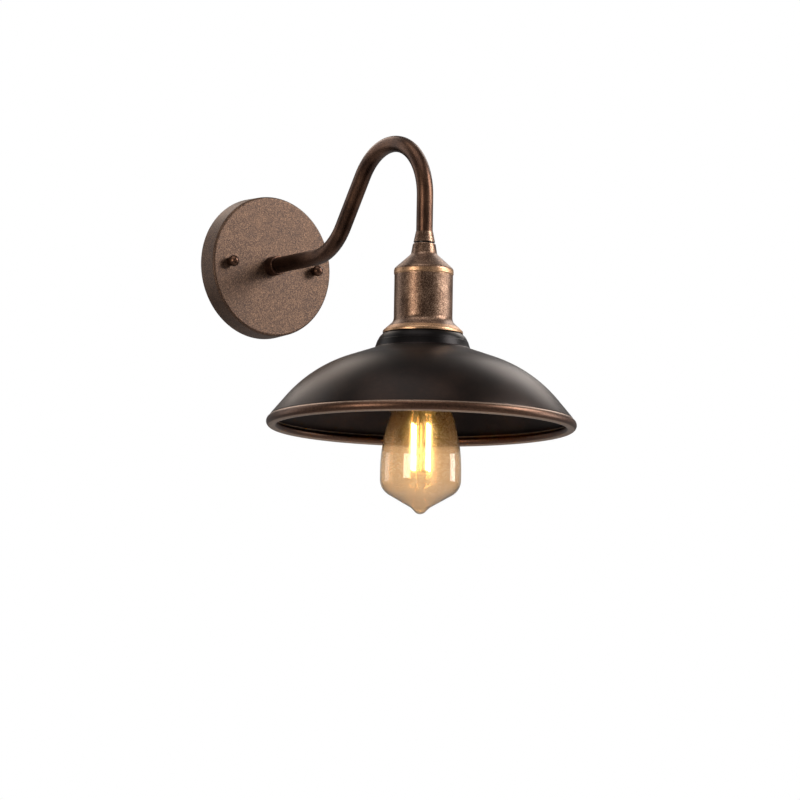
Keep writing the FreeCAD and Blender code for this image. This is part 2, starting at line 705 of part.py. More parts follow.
def make_arm():
    """One tube bent twice in its own plane: a climb from the collar and a crown over the lamp."""
    body = start_body("arm_tube")
    path = start_sketch(body, "YZ_Plane", "arm_path")
    draw(path, arm_line(), closed=False)
    ring = start_sketch(body, "XZ_Plane", "arm_ring")
    draw_circle(ring, ZERO, ZERO, S.tube_diameter)
    draw_circle(ring, ZERO, ZERO, S.tube_diameter - S.tube_wall * 2)
    DOC.recompute()
    pipe = body.newObject("PartDesign::AdditivePipe", "arm_sweep")
    pipe.Profile = ring
    pipe.Spine = (path, [])
    keep(place(body, ZERO, -S.canopy_depth - S.collar_floor, ZERO))


def make_ferrule():
    """The cone that plugs the arm's end, and the dark spacer under it."""
    thread = S.pipe_diameter / 2
    way = S.pipe_bore / 2
    plug = S.tube_diameter / 2 - S.tube_wall - S.ferrule_fit
    shelf = S.ferrule_height - S.tube_wall
    body = revolve("arm_ferrule", [
        (thread, ZERO), (S.ferrule_foot / 2, ZERO), (S.ferrule_top / 2, S.ferrule_height),
        (plug, S.ferrule_height), (plug, S.ferrule_height + S.ferrule_spigot),
        (way, S.ferrule_height + S.ferrule_spigot), (way, shelf), (thread, shelf),
    ])
    keep(on_lamp_axis(body, FERRULE_Z))
    bore = S.pipe_diameter + S.pipe_clearance * 2
    keep(on_lamp_axis(tube("ferrule_spacer", bore, S.spacer_diameter, S.spacer_thickness), CUP_TOP_Z))


# ---- lamp head ----


def make_head_pipe():
    """The threaded pipe that carries the cup and the lampholder, and the nut that clamps the cup."""
    top = FERRULE_Z + S.ferrule_height - S.tube_wall
    foot = HOLDER_TOP_Z - S.holder_boss_height
    keep(on_lamp_axis(tube("head_pipe", S.pipe_bore, S.pipe_diameter, top - foot), foot))
    cup_nut = nut("cup_nut", S.cup_nut_width, S.pipe_diameter, S.pipe_nut_height)
    keep(on_lamp_axis(cup_nut, CUP_TOP_Z - S.cup_wall - S.pipe_nut_height))


def make_cup():
    """The spun socket cup: neck, hollow, shoulder, bead, straight body, flare and lip."""
    fold = S.cup_fold
    slope = S.cup_slope
    steep = S.cup_neck_slope
    neck = S.cup_neck / 2
    bead = S.cup_bead / 2
    body = S.cup_body / 2
    lip = S.cup_lip / 2
    top = S.cup_height
    hollow = S.cup_neck_bend
    # neck and the hollow under it
    neck_z = top - fold * (1 - cosine(steep))
    hollow_z = top - S.cup_neck_height
    hollow_r = neck + (neck_z - hollow_z) / tangent(steep)
    cone_r = hollow_r + hollow * (sine(steep) - sine(slope))
    cone_z = hollow_z - hollow * (cosine(slope) - cosine(steep))
    # shoulder and bead
    shoulder_r = bead - S.cup_shoulder * (1 - sine(slope))
    shoulder_z = cone_z - (shoulder_r - cone_r) * tangent(slope)
    bead_z = shoulder_z - S.cup_shoulder * cosine(slope)
    step_z = bead_z - S.cup_bead_height
    # flare, worked out upwards from the lip
    edge_r = lip - fold * (1 - sine(slope))
    edge_z = S.cup_lip_height + fold * cosine(slope)
    flare_r = body + S.cup_flare_bend * (1 - sine(slope))
    flare_z = edge_z + (edge_r - flare_r) * tangent(slope)
    waist_z = flare_z + S.cup_flare_bend * cosine(slope)
    stations = [
        (S.pipe_diameter / 2 + S.pipe_clearance, top, 0, None),
        (neck - fold * sine(steep), top, 0, fold),
        (neck, neck_z, steep, None),
        (hollow_r, hollow_z, steep, -hollow),
        (cone_r, cone_z, slope, None),
        (shoulder_r, shoulder_z, slope, S.cup_shoulder),
        (bead, bead_z, 90, None),
        (bead, step_z, 90, None),
        (body, step_z - S.cup_bead_step, 90, None),
        (body, waist_z, 90, -S.cup_flare_bend),
        (flare_r, flare_z, slope, None),
        (edge_r, edge_z, slope, fold),
        (lip, S.cup_lip_height, 90, None),
        (lip, ZERO, 90, None),
    ]
    keep(on_lamp_axis(revolve("socket_cup", sheet_outline(stations, S.cup_wall)), CUP_FOOT_Z))


def make_shade():
    """The spun shade: seat, two stepped rings, top cone, round, side and rim rolled inwards."""
    keep(on_lamp_axis(revolve("shade", sheet_outline(shade_stations(), S.shade_wall)), RIM_Z))


# ---- lampholder ----


def make_holder():
    """The moulded lampholder: a cap on the head pipe, and a skirt with its flange ring in the shade's seat."""
    outer = S.holder_diameter / 2
    chamber = outer - S.holder_wall
    bore = S.pipe_diameter / 2
    boss = S.holder_boss / 2
    cap_top = S.holder_cap_height
    shoulder = cap_top - S.holder_boss_height
    cap = revolve("lampholder_cap", [
        (bore, cap_top), (boss, cap_top), (boss, shoulder, S.holder_wall),
        (boss + S.holder_wall, shoulder - S.holder_wall), (outer, S.holder_wall * 2),
        (outer, ZERO), (chamber, ZERO), (chamber, S.holder_wall),
        (boss, shoulder - S.holder_wall * 2), (bore, shoulder - S.holder_wall * 2),
    ])
    keep(on_lamp_axis(cap, CORE_TOP_Z))
    ledge = CORE_FOOT_Z - SKIRT_FOOT_Z
    height = CORE_TOP_Z - SKIRT_FOOT_Z
    skirt_bore = S.holder_skirt_bore / 2
    flange = S.holder_flange / 2
    skirt = revolve("lampholder_skirt", [
        (skirt_bore, ZERO), (outer, ZERO), (outer, height),
        (chamber, height), (chamber, ledge), (skirt_bore, ledge),
    ])
    keep(on_lamp_axis(skirt, SKIRT_FOOT_Z))
    ring = revolve("flange_ring", [
        (outer, ZERO), (flange, ZERO), (flange, S.holder_flange_thickness), (outer, S.holder_flange_thickness),
    ])
    keep(on_lamp_axis(ring, SEAT_Z))
    core = chamber - S.core_fit
    keep(on_lamp_axis(revolve("ceramic_core", [
        (ZERO, ZERO), (core, ZERO), (core, S.core_height), (ZERO, S.core_height),
    ]), CORE_FOOT_Z))


def make_screw_shell():
    """The brass shell that the bulb screws into, and the spring contact in its window."""
    wall = S.shell_wall
    outer = S.shell_bore / 2 + wall
    window = S.shell_window / 2
    top = S.shell_height
    shell = revolve("screw_shell", [
        (window, top), (outer, top), (outer, ZERO), (outer - wall, ZERO),
        (outer - wall, top - wall), (window, top - wall),
    ])
    keep(on_lamp_axis(shell, CORE_FOOT_Z - top))
    body = start_body("spring_contact")
    side = start_sketch(body, "XZ_Plane", "contact_side")
    sheet = S.contact_sheet
    reach = window - S.contact_margin
    half = S.contact_width / 2
    tip = S.contact_gap - S.contact_drop
    draw(side, [
        (-reach, -sheet), (-half, -sheet), (half, tip), (half, tip + sheet), (-half, ZERO), (-reach, ZERO),
    ])
    pad(body, side, S.contact_width, middle=True)
    keep(on_lamp_axis(body, CORE_FOOT_Z))


def make_holder_terminals():
    """Two brass terminals on the ceramic core, each with a clamping screw."""
    spread = S.terminal_spread
    half = S.terminal_width / 2
    body = start_body("holder_terminal")
    block = start_sketch(body, "XY_Plane", "holder_terminal_block")
    draw(block, [(spread - half, -half), (spread + half, -half), (spread + half, half), (spread - half, half)])
    pad(body, block, S.terminal_height)
    hole = start_sketch(body, "XY_Plane", "holder_terminal_hole")
    way = S.lead_diameter + S.lead_clearance * 2
    draw_circle(hole, spread, ZERO, way)
    cut_through(body, hole)
    tap = start_sketch(body, "YZ_Plane", "holder_terminal_tap")
    draw_circle(tap, ZERO, S.terminal_height / 2, S.terminal_screw_diameter)
    cut_through(body, tap)
    pair("holder_terminals", on_lamp_axis(body, CORE_TOP_Z))
    shank = S.terminal_screw_diameter / 2
    grip = half - S.lead_diameter / 2
    head = S.terminal_screw_head
    screw = revolve("terminal_screw", [
        (ZERO, ZERO), (shank, ZERO), (shank, grip), (half - head / 2, grip),
        (half - head / 2, grip + head / 2), (half - head, grip + head), (ZERO, grip + head),
    ])
    sideways = FreeCAD.Rotation(V(0, 1, 0), 90)
    height = CORE_TOP_Z + S.terminal_height / 2
    pair("holder_terminal_screws", place(screw, spread + S.lead_diameter / 2, -S.arm_reach, height, sideways))


def make_shade_ring():
    """The ring on the skirt that presses the shade's seat against the flange."""
    bore = S.holder_diameter / 2 + S.ring_clearance
    flange = S.ring_diameter / 2
    hub = S.ring_hub / 2
    body = revolve("shade_ring", [
        (bore, ZERO), (hub, ZERO), (hub, S.ring_height - S.ring_flange),
        (flange, S.ring_height - S.ring_flange), (flange, S.ring_height), (bore, S.ring_height),
    ])
    grip = start_sketch(body, "XY_Plane", "ring_grip")
    draw_circle(grip, flange, ZERO, S.ring_grip)
    repeat_round(body, cut_through(body, grip), S.ring_grips)
    keep(on_lamp_axis(body, SEAT_Z - S.shade_wall - S.ring_height))


# ---- bulb ----


def make_bulb_cap():
    """The threaded cap of the bulb, with its black glass and its foot contact."""
    outer = S.bulb_cap_diameter / 2
    sheet = S.bulb_cap_sheet
    top = S.bulb_cap_height
    curl = S.bulb_cap_curl
    hole = S.bulb_contact_diameter / 2 + curl
    cap = revolve("bulb_cap", [
        (outer, ZERO), (outer, top - curl), (outer - curl, top), (hole, top), (hole, top - sheet),
        (outer - curl - sheet, top - sheet), (outer - sheet, top - curl - sheet), (outer - sheet, ZERO),
    ])
    keep(on_lamp_axis(cap, CAP_FOOT_Z))
    contact = S.bulb_contact_diameter / 2
    glass = revolve("bulb_insulator", [
        (ZERO, ZERO), (outer - curl, ZERO), (contact, S.bulb_insulator_height), (ZERO, S.bulb_insulator_height),
    ])
    keep(on_lamp_axis(glass, CAP_TOP_Z + S.bulb_foot_gap))
    button = revolve("bulb_contact", [
        (ZERO, ZERO), (contact, ZERO), (contact, S.bulb_contact_height / 2),
        (contact - S.bulb_contact_height, S.bulb_contact_height), (ZERO, S.bulb_contact_height),
    ])
    keep(on_lamp_axis(button, BULB_FOOT_Z - S.bulb_contact_height))


def bulb_stations():
    """The outer line of the glass, from its tail in the cap to the pip."""
    neck_slope = S.bulb_neck_slope
    side_slope = S.bulb_side_slope
    floor_slope = 180 - S.bulb_floor_slope
    widest = S.bulb_diameter / 2
    pip = S.bulb_pip_diameter / 2
    neck_z = CAP_FOOT_Z - BULB_TIP_Z
    side_r = widest - S.bulb_side_bend * (1 - sine(side_slope))
    side_z = neck_z - S.bulb_neck_bend * (cosine(side_slope) - cosine(neck_slope))
    neck_r = side_r - S.bulb_neck_bend * (sine(neck_slope) - sine(side_slope))
    widest_z = side_z - S.bulb_side_bend * cosine(side_slope)
    floor_r = widest - S.bulb_shoulder * (1 - sine(floor_slope))
    floor_z = S.bulb_pip_height + (floor_r - pip) * tangent(S.bulb_floor_slope)
    shoulder_z = floor_z - S.bulb_shoulder * cosine(floor_slope)
    tip_r = pip * S.bulb_pip_taper
    tip_z = S.bulb_pip_height * (1 - S.bulb_pip_taper)
    tail = neck_r - S.bulb_neck_step
    return [
        (tail, neck_z + S.bulb_neck_tail, 90, None),
        (tail, neck_z, 90, None),
        (neck_r, neck_z, neck_slope, -S.bulb_neck_bend),
        (side_r, side_z, side_slope, S.bulb_side_bend),
        (widest, widest_z, 90, None),
        (widest, shoulder_z, 90, S.bulb_shoulder),
        (floor_r, floor_z, floor_slope, None),
        (pip, S.bulb_pip_height, floor_slope, None),
        (tip_r, tip_z, floor_slope, (tip_r * tip_r + tip_z * tip_z) / (tip_z * 2)),
        (ZERO, ZERO, 180, None),
    ]


def make_bulb_glass():
    outline = sheet_outline(bulb_stations(), S.bulb_wall)
    keep(on_lamp_axis(revolve("bulb_glass", outline), BULB_TIP_Z))


def make_bulb_inside():
    """The glass stem, the light rods and the wires that carry them."""
    stem = S.stem_diameter / 2
    tail = bulb_stations()[0]
    flare = tail[0] - S.bulb_wall
    stem_foot_z = BULB_TIP_Z + tail[1] - S.stem_height
    body = revolve("bulb_stem", [
        (ZERO, ZERO), (stem, ZERO), (stem, S.stem_height - S.stem_flare),
        (flare, S.stem_height - S.bulb_wall), (flare, S.stem_height), (ZERO, S.stem_height),
    ])
    keep(on_lamp_axis(body, stem_foot_z))
    circle = S.filament_circle / 2
    rods_top_z = stem_foot_z - S.stem_gap
    rods_foot_z = rods_top_z - S.filament_length
    body = start_body("light_rods")
    rod = start_sketch(body, "XY_Plane", "light_rod")
    draw_circle(rod, circle, ZERO, S.filament_diameter)
    repeat_round(body, pad(body, rod, S.filament_length), S.filament_count)
    keep(on_lamp_axis(body, rods_foot_z))
    wire = S.wire_ring
    half = wire / 2
    body = start_body("rod_wires")
    core = start_sketch(body, "XY_Plane", "rod_wire_core")
    draw_circle(core, ZERO, ZERO, wire * 2)
    pad(body, core, S.filament_length + wire * 2 + S.stem_gap - wire)
    for name, height in (("low", ZERO), ("high", S.filament_length + wire)):
        spoke = start_sketch(body, "XZ_Plane", "rod_spoke_" + name)
        draw(spoke, [(ZERO, height), (circle + wire, height), (circle + wire, height + wire), (ZERO, height + wire)])
        repeat_round(body, pad(body, spoke, wire, middle=True), S.filament_count)
    keep(on_lamp_axis(body, rods_foot_z - wire))


# ---- terminals, screws and leads ----


def make_terminal_block():
    """The moulded block on the ear: three brass barrels, their screws and two fixing screws."""
    length = S.block_length / 2
    height = S.block_height / 2
    depth = S.block_depth
    body = start_body("terminal_block")
    outline = start_sketch(body, "XY_Plane", "block_outline")
    draw(outline, [
        (-length, BLOCK_Z - height), (length, BLOCK_Z - height),
        (length, BLOCK_Z + height), (-length, BLOCK_Z + height),
    ])
    pad(body, outline, depth)
    ways = start_sketch(body, "XZ_Plane", "block_ways")
    fronts = start_sketch(body, "XY_Plane", "block_fronts", lift=depth / 2)
    for pole in POLES:
        draw_circle(ways, S.pole_pitch * pole, depth / 2, S.barrel_diameter)
        draw_circle(fronts, S.pole_pitch * pole, BLOCK_Z, S.clamp_screw_diameter)
    cut_through(body, ways)
    cut_up(body, fronts, depth / 2)
    fixings = start_sketch(body, "XY_Plane", "block_fixings")
    for sign in (1, -1):
        draw_circle(fixings, S.pole_pitch / 2 * sign, BLOCK_Z, S.block_screw_diameter)
    cut_through(body, fixings)
    keep(off_wall(body, S.bracket_thickness))
    body = start_body("terminal_barrels")
    rings = start_sketch(body, "XZ_Plane", "barrel_rings")
    taps = start_sketch(body, "XY_Plane", "barrel_taps", lift=depth / 2)
    for pole in POLES:
        draw_circle(rings, S.pole_pitch * pole, depth / 2, S.barrel_diameter)
        draw_circle(rings, S.pole_pitch * pole, depth / 2, S.barrel_bore)
        draw_circle(taps, S.pole_pitch * pole, ZERO, S.clamp_screw_diameter)
    pad(body, rings, S.block_height, middle=True)
    cut_up(body, taps, depth / 2)
    keep(off_wall(body, S.bracket_thickness, ZERO, BLOCK_Z))


def make_screws():
    """The clamping screws in the block, the block's fixing screws and the ground screw."""
    front = S.bracket_thickness + S.block_depth
    inner = S.bracket_thickness + (S.block_depth + S.lead_diameter) / 2
    body = start_body("clamp_screws")
    shanks = start_sketch(body, "XY_Plane", "clamp_shanks")
    for pole in POLES:
        draw_circle(shanks, S.pole_pitch * pole, BLOCK_Z, S.clamp_screw_diameter)
    pad(body, shanks, front - inner - S.clamp_screw_sink)
    keep(off_wall(body, inner))
    body = start_body("block_screws")
    shanks = start_sketch(body, "XY_Plane", "block_shanks")
    for sign in (1, -1):
        draw_circle(shanks, S.pole_pitch / 2 * sign, BLOCK_Z, S.block_screw_diameter)
    pad(body, shanks, front)
    keep(off_wall(body, ZERO))
    shank = S.ground_screw_diameter / 2
    head = shank * 2
    grip = S.bracket_thickness + S.lug_thickness
    top = grip + S.ground_screw_head
    body = revolve("ground_screw", [
        (ZERO, ZERO), (shank, ZERO), (shank, grip), (head, grip), (head, top - shank / 2),
        (head - shank / 2, top), (ZERO, top),
    ])
    keep(off_wall(body, ZERO, S.ground_screw_place, -S.ground_screw_drop))


def make_ground_lug():
    """The ring lug under the ground screw's head, with its barrel for the lead."""
    hole = S.ground_screw_diameter
    side = S.lead_diameter / 2 + S.lug_thickness
    body = start_body("ground_lug")
    disc = start_sketch(body, "XY_Plane", "lug_disc")
    draw_circle(disc, ZERO, ZERO, hole * 2)
    pad(body, disc, S.lug_thickness)
    tongue = start_sketch(body, "XY_Plane", "lug_tongue")
    reach = LUG_REACH + S.lug_barrel / 2
    draw(tongue, [(-side, ZERO), (side, ZERO), (side, reach), (-side, reach)])
    pad(body, tongue, S.lug_thickness)
    screw_hole = start_sketch(body, "XY_Plane", "lug_hole")
    draw_circle(screw_hole, ZERO, ZERO, hole)
    cut_through(body, screw_hole)
    barrel = start_sketch(body, "XZ_Plane", "lug_barrel", lift=-LUG_REACH - S.lug_barrel)
    draw_circle(barrel, ZERO, side, side * 2)
    draw_circle(barrel, ZERO, side, S.lead_diameter)
    pad(body, barrel, S.lug_barrel)
    keep(off_wall(body, S.bracket_thickness, S.ground_screw_place, -S.ground_screw_drop))


def at(x, y, z):
    """A corner of a lead's middle line."""
    return V(as_size(x).number, as_size(y).number, as_size(z).number)


def lead(label, corners):
    """An insulated lead along straights and arcs. A corner is a place and the bend's radius there."""
    pieces = []
    start = corners[0][0]
    first_way = corners[1][0] - start
    for (before, _), (corner, radius), (following, _) in zip(corners, corners[1:], corners[2:]):
        arriving = (corner - before).normalize()
        leaving = (following - corner).normalize()
        half_turn = arriving.getAngle(leaving) / 2
        setback = radius * math.tan(half_turn)
        sagitta = radius / math.cos(half_turn) - radius
        bend_start = corner - arriving * setback
        bend_end = corner + leaving * setback
        bend_middle = corner + (leaving - arriving).normalize() * sagitta
        pieces.append(Part.LineSegment(start, bend_start).toShape())
        pieces.append(Part.Arc(bend_start, bend_middle, bend_end).toShape())
        start = bend_end
    pieces.append(Part.LineSegment(start, corners[-1][0]).toShape())
    line = Part.Wire(pieces)
    ring = Part.Wire([Part.Circle(corners[0][0], first_way, S.lead_diameter.number / 2).toShape()])
    part = DOC.addObject("Part::Feature", label)
    part.Label = label
    part.Shape = line.makePipeShell([ring], True, False)
    section = math.pi * S.lead_diameter.number ** 2 / 4
    print("%s: volume %.1f, section by length %.1f" % (label, part.Shape.Volume, section * line.Length))
    return keep(part)


def joggle(upper, lower):
    """The two rounded corners of a sidestep between two upright runs."""
    height = upper.z - lower.z
    aside = math.hypot(upper.x - lower.x, upper.y - lower.y)
    spread = height ** 2 + aside ** 2
    drop = V(0, 0, spread / (4 * height))
    radius = spread / (4 * aside) * S.joggle_share.number
    return [(upper - drop, radius), (lower + drop, radius)]


def make_leads():
    """Live and neutral from the terminal block through the arm to the lampholder, and the earth lead."""
    barrel_y = -(S.bracket_thickness + S.block_depth / 2)
    clamped_z = BLOCK_Z + S.block_height / 4
    leave_z = BLOCK_Z - S.block_height / 2 - S.lead_straight
    pipe_y = -(S.canopy_depth - S.canopy_wall - S.lock_washer_thickness - S.pipe_nut_height - S.foot_pipe_back)
    turn_y = pipe_y + S.lead_bend
    # the arm's two bends as the corners of its tangents
    arm = arm_line()
    foot_y = arm[1][0] - S.foot_bend * tangent(S.rise_angle / 2) - S.canopy_depth - S.collar_floor
    crown_z = arm[4][1] + S.crown_bend * tangent((S.rise_angle + 90) / 2)
    chamber_z = HOLDER_TOP_Z - S.holder_boss_height - S.holder_wall * 2
    enter_z = CORE_TOP_Z + S.terminal_height + S.lead_straight
    for label, pole, side in (("live_lead", -1, -1), ("neutral_lead", 0, 1)):
        pole_x = S.pole_pitch * pole
        arm_x = S.lead_offset * side
        terminal_x = S.terminal_spread * side
        corners = [(at(pole_x, barrel_y, clamped_z), None)]
        corners += joggle(at(pole_x, barrel_y, leave_z), at(arm_x, turn_y, S.lead_bend + S.lead_straight))
        corners.append((at(arm_x, turn_y, ZERO), S.lead_bend.number))
        corners.append((at(arm_x, foot_y, ZERO), S.foot_bend.number))
        corners.append((at(arm_x, -S.arm_reach, crown_z), S.crown_bend.number))
        corners += joggle(at(arm_x, -S.arm_reach, chamber_z), at(terminal_x, -S.arm_reach, enter_z))
        corners.append((at(terminal_x, -S.arm_reach, CORE_TOP_Z + S.lead_clearance), None))
        lead(label, corners)
    lug_y = -(S.bracket_thickness + S.lug_thickness + S.lead_diameter / 2)
    lug_top = LUG_REACH + S.lug_barrel - S.ground_screw_drop
    corners = [(at(S.pole_pitch, barrel_y, clamped_z), None)]
    corners += joggle(
        at(S.pole_pitch, barrel_y, leave_z), at(S.ground_screw_place, lug_y, lug_top + S.lead_straight)
    )
    corners.append((at(S.ground_screw_place, lug_y, lug_top - S.lug_barrel / 2), None))
    lead("earth_lead", corners)


def export_parts():
    """Checks every object and writes each sub-part to its own file."""
    DOC.recompute()
    faults = []
    for thing in DOC.Objects:
        if "Invalid" in thing.State or "Error" in thing.State:
            faults.append("%s: %s" % (thing.Label, thing.State))
    for part in PARTS:
        if part.Shape.isNull() or not part.Shape.isValid() or not part.Shape.Solids:
            faults.append("%s: shape" % part.Label)
    if faults:
        raise RuntimeError("; ".join(faults))
    os.makedirs("parts", exist_ok=True)
    for part in PARTS:
        part.Shape.exportStep("parts/%s.step" % part.Label)


make_bracket()
make_studs()
make_ball_nuts()
make_canopy()
make_foot_pipe()
make_collar()
make_arm()
make_ferrule()
make_head_pipe()
make_cup()
make_shade()
make_holder()
make_screw_shell()
make_holder_terminals()
make_shade_ring()
make_bulb_cap()
make_bulb_glass()
make_bulb_inside()
make_terminal_block()
make_screws()
make_ground_lug()
make_leads()
export_parts()
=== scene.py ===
"""Gooseneck wall sconce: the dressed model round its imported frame.

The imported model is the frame. The shade is spun again as one sheet on the same sizes. Every other
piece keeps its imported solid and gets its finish. Lengths in the classes are millimetres and become
metres through MM, apart from those of the studio, which are metres.
"""
import logging
import math
from dataclasses import dataclass
from enum import Enum

import bpy
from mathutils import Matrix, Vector


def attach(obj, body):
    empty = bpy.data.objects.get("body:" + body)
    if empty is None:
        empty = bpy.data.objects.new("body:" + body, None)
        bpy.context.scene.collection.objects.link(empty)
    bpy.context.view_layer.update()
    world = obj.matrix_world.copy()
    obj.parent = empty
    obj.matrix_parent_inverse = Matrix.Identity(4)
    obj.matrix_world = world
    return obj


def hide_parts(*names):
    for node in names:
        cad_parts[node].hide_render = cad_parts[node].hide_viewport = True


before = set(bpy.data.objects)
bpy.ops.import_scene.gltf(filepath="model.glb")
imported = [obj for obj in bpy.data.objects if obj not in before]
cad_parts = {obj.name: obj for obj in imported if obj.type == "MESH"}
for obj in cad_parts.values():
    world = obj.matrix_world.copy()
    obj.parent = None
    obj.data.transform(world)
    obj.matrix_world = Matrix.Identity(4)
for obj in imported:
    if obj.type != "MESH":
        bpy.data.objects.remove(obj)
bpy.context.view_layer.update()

MM = 0.001
EDGE_WOBBLE = 1.2
THREAD_DEPTH = 0.7
DRAW_MARK_DEPTH = 0.006
MERGE_DISTANCE = 0.002
SMOOTH_ANGLE = 32.0
LOG = logging.getLogger("sconce")
Colour = tuple[float, float, float]
Sample = tuple[float, float]


def rgb(red: float, green: float, blue: float) -> Colour:
    """Turns a display colour into the linear colour that shaders use.

    Args:
        red: Red from 0 to 255.
        green: Green from 0 to 255.
        blue: Blue from 0 to 255.

    Returns:
        The linear red, green and blue.
    """
    scaled = (red / 255, green / 255, blue / 255)
    return tuple(c / 12.92 if c <= 0.04045 else ((c + 0.055) / 1.055) ** 2.4 for c in scaled)


# ---- finishes ----


class Recipe:
    """Builds one material's node tree on the piece's own coordinates."""

    def __init__(self, name: str) -> None:
        """Starts a material with one Principled shader."""
        self.material = bpy.data.materials.new(name)
        self.material.use_nodes = True
        self.tree = self.material.node_tree
        self.tree.nodes.clear()
        self.output = self.tree.nodes.new("ShaderNodeOutputMaterial")
        self.shader = self.tree.nodes.new("ShaderNodeBsdfPrincipled")
        self.link(self.shader.outputs[0], self.output.inputs[0])
        self.place = self.tree.nodes.new("ShaderNodeTexCoord").outputs["Object"]

    def link(self, source: bpy.types.NodeSocket, target: bpy.types.NodeSocket) -> None:
        """Joins two sockets."""
        self.tree.links.new(source, target)

    def set(self, **values: object) -> None:
        """Sets constants on the shader's own sockets, underscores standing for spaces."""
        for name, value in values.items():
            socket = self.shader.inputs[name.replace("_", " ")]
            socket.default_value = (*value, 1.0) if isinstance(value, tuple) else value

    def feed(self, name: str, source: bpy.types.NodeSocket) -> None:
        """Feeds one of the shader's sockets."""
        self.link(source, self.shader.inputs[name])

    def noise(
        self, size: float, detail: float = 3.0, roughness: float = 0.55, stretch: Sample = (1.0, 1.0)
    ) -> bpy.types.NodeSocket:
        """Adds a cloudy noise.

        Args:
            size: The size of its grains in millimetres.
            detail: How many finer layers it has.
            roughness: How strong the finer layers are.
            stretch: How much longer its grains are across and along the height.

        Returns:
            Its value from 0 to 1.
        """
        mapping = self.tree.nodes.new("ShaderNodeMapping")
        mapping.inputs["Scale"].default_value = (1 / stretch[0], 1 / stretch[0], 1 / stretch[1])
        self.link(self.place, mapping.inputs["Vector"])
        node = self.tree.nodes.new("ShaderNodeTexNoise")
        node.inputs["Scale"].default_value = 1 / (size * MM)
        node.inputs["Detail"].default_value = detail
        node.inputs["Roughness"].default_value = roughness
        self.link(mapping.outputs[0], node.inputs["Vector"])
        return node.outputs["Fac"]

    def ramp(self, value: bpy.types.NodeSocket, stops: list[tuple[float, Colour]]) -> bpy.types.NodeSocket:
        """Turns a value into a colour.

        Args:
            value: The value to read.
            stops: Places from 0 to 1 with their colours, in order.

        Returns:
            The colour.
        """
        node = self.tree.nodes.new("ShaderNodeValToRGB")
        elements = node.color_ramp.elements
        while len(elements) < len(stops):
            elements.new(0.5)
        for element, (place, colour) in zip(elements, stops):
            element.position = place
            element.color = (*colour, 1.0)
        self.link(value, node.inputs[0])
        return node.outputs[0]

    def window(self, value: bpy.types.NodeSocket, low: float, high: float) -> bpy.types.NodeSocket:
        """Stretches a value so that low becomes 0 and high becomes 1, held at both ends."""
        node = self.tree.nodes.new("ShaderNodeMapRange")
        node.interpolation_type = "SMOOTHSTEP"
        node.inputs["From Min"].default_value = low
        node.inputs["From Max"].default_value = high
        self.link(value, node.inputs["Value"])
        return node.outputs[0]

    def scaled(self, value: bpy.types.NodeSocket, low: float, high: float) -> bpy.types.NodeSocket:
        """Turns 0 to 1 into low to high."""
        node = self.tree.nodes.new("ShaderNodeMapRange")
        node.inputs["To Min"].default_value = low
        node.inputs["To Max"].default_value = high
        self.link(value, node.inputs["Value"])
        return node.outputs[0]

    def math(self, kind: str, first: bpy.types.NodeSocket, second: object) -> bpy.types.NodeSocket:
        """Joins two values, or a value and a number, by a sum."""
        node = self.tree.nodes.new("ShaderNodeMath")
        node.operation = kind
        self.link(first, node.inputs[0])
        if isinstance(second, (int, float)):
            node.inputs[1].default_value = second
        else:
            self.link(second, node.inputs[1])
        return node.outputs[0]

    def mix(
        self, share: bpy.types.NodeSocket, first: bpy.types.NodeSocket, second: bpy.types.NodeSocket
    ) -> bpy.types.NodeSocket:
        """Mixes two colours.

        Args:
            share: The share of the second colour.
            first: The first colour.
            second: The second colour.

        Returns:
            The mixed colour.
        """
        node = self.tree.nodes.new("ShaderNodeMix")
        node.data_type = "RGBA"
        self.link(share, node.inputs[0])
        self.link(first, node.inputs[6])
        self.link(second, node.inputs[7])
        return node.outputs[2]

    def height(self) -> bpy.types.NodeSocket:
        """The height of the point in metres."""
        node = self.tree.nodes.new("ShaderNodeSeparateXYZ")
        self.link(self.place, node.inputs[0])
        return node.outputs["Z"]

    def helix(self, turns: float) -> bpy.types.NodeSocket:
        """A rolled round thread that fills the piece's own box.

        Args:
            turns: How many turns of thread stand over each other.

        Returns:
            The height of the thread from 0 to 1.
        """
        box = self.tree.nodes.new("ShaderNodeTexCoord").outputs["Generated"]
        split = self.tree.nodes.new("ShaderNodeSeparateXYZ")
        self.link(box, split.inputs[0])
        across = self.math("SUBTRACT", split.outputs["X"], 0.5)
        along = self.math("SUBTRACT", split.outputs["Y"], 0.5)
        angle = self.math("ARCTAN2", along, across)
        climb = self.math("MULTIPLY", split.outputs["Z"], turns * math.tau)
        wave = self.math("SINE", self.math("SUBTRACT", climb, angle), 0.0)
        return self.math("MULTIPLY", self.math("ADD", wave, 1.0), 0.5)

    def bump(self, value: bpy.types.NodeSocket, depth: float) -> None:
        """Raises the surface by a value.

        Args:
            value: The height map from 0 to 1.
            depth: The height of 1 in millimetres.
        """
        node = self.tree.nodes.new("ShaderNodeBump")
        node.inputs["Strength"].default_value = 1.0
        node.inputs["Distance"].default_value = depth * MM
        self.link(value, node.inputs["Height"])
        self.link(node.outputs[0], self.shader.inputs["Normal"])


@dataclass(frozen=True)
class Band:
    """A ring of another colour between two heights in millimetres."""

    low: float
    high: float
    dull: Colour
    bright: Colour
    soft: float = 0.6


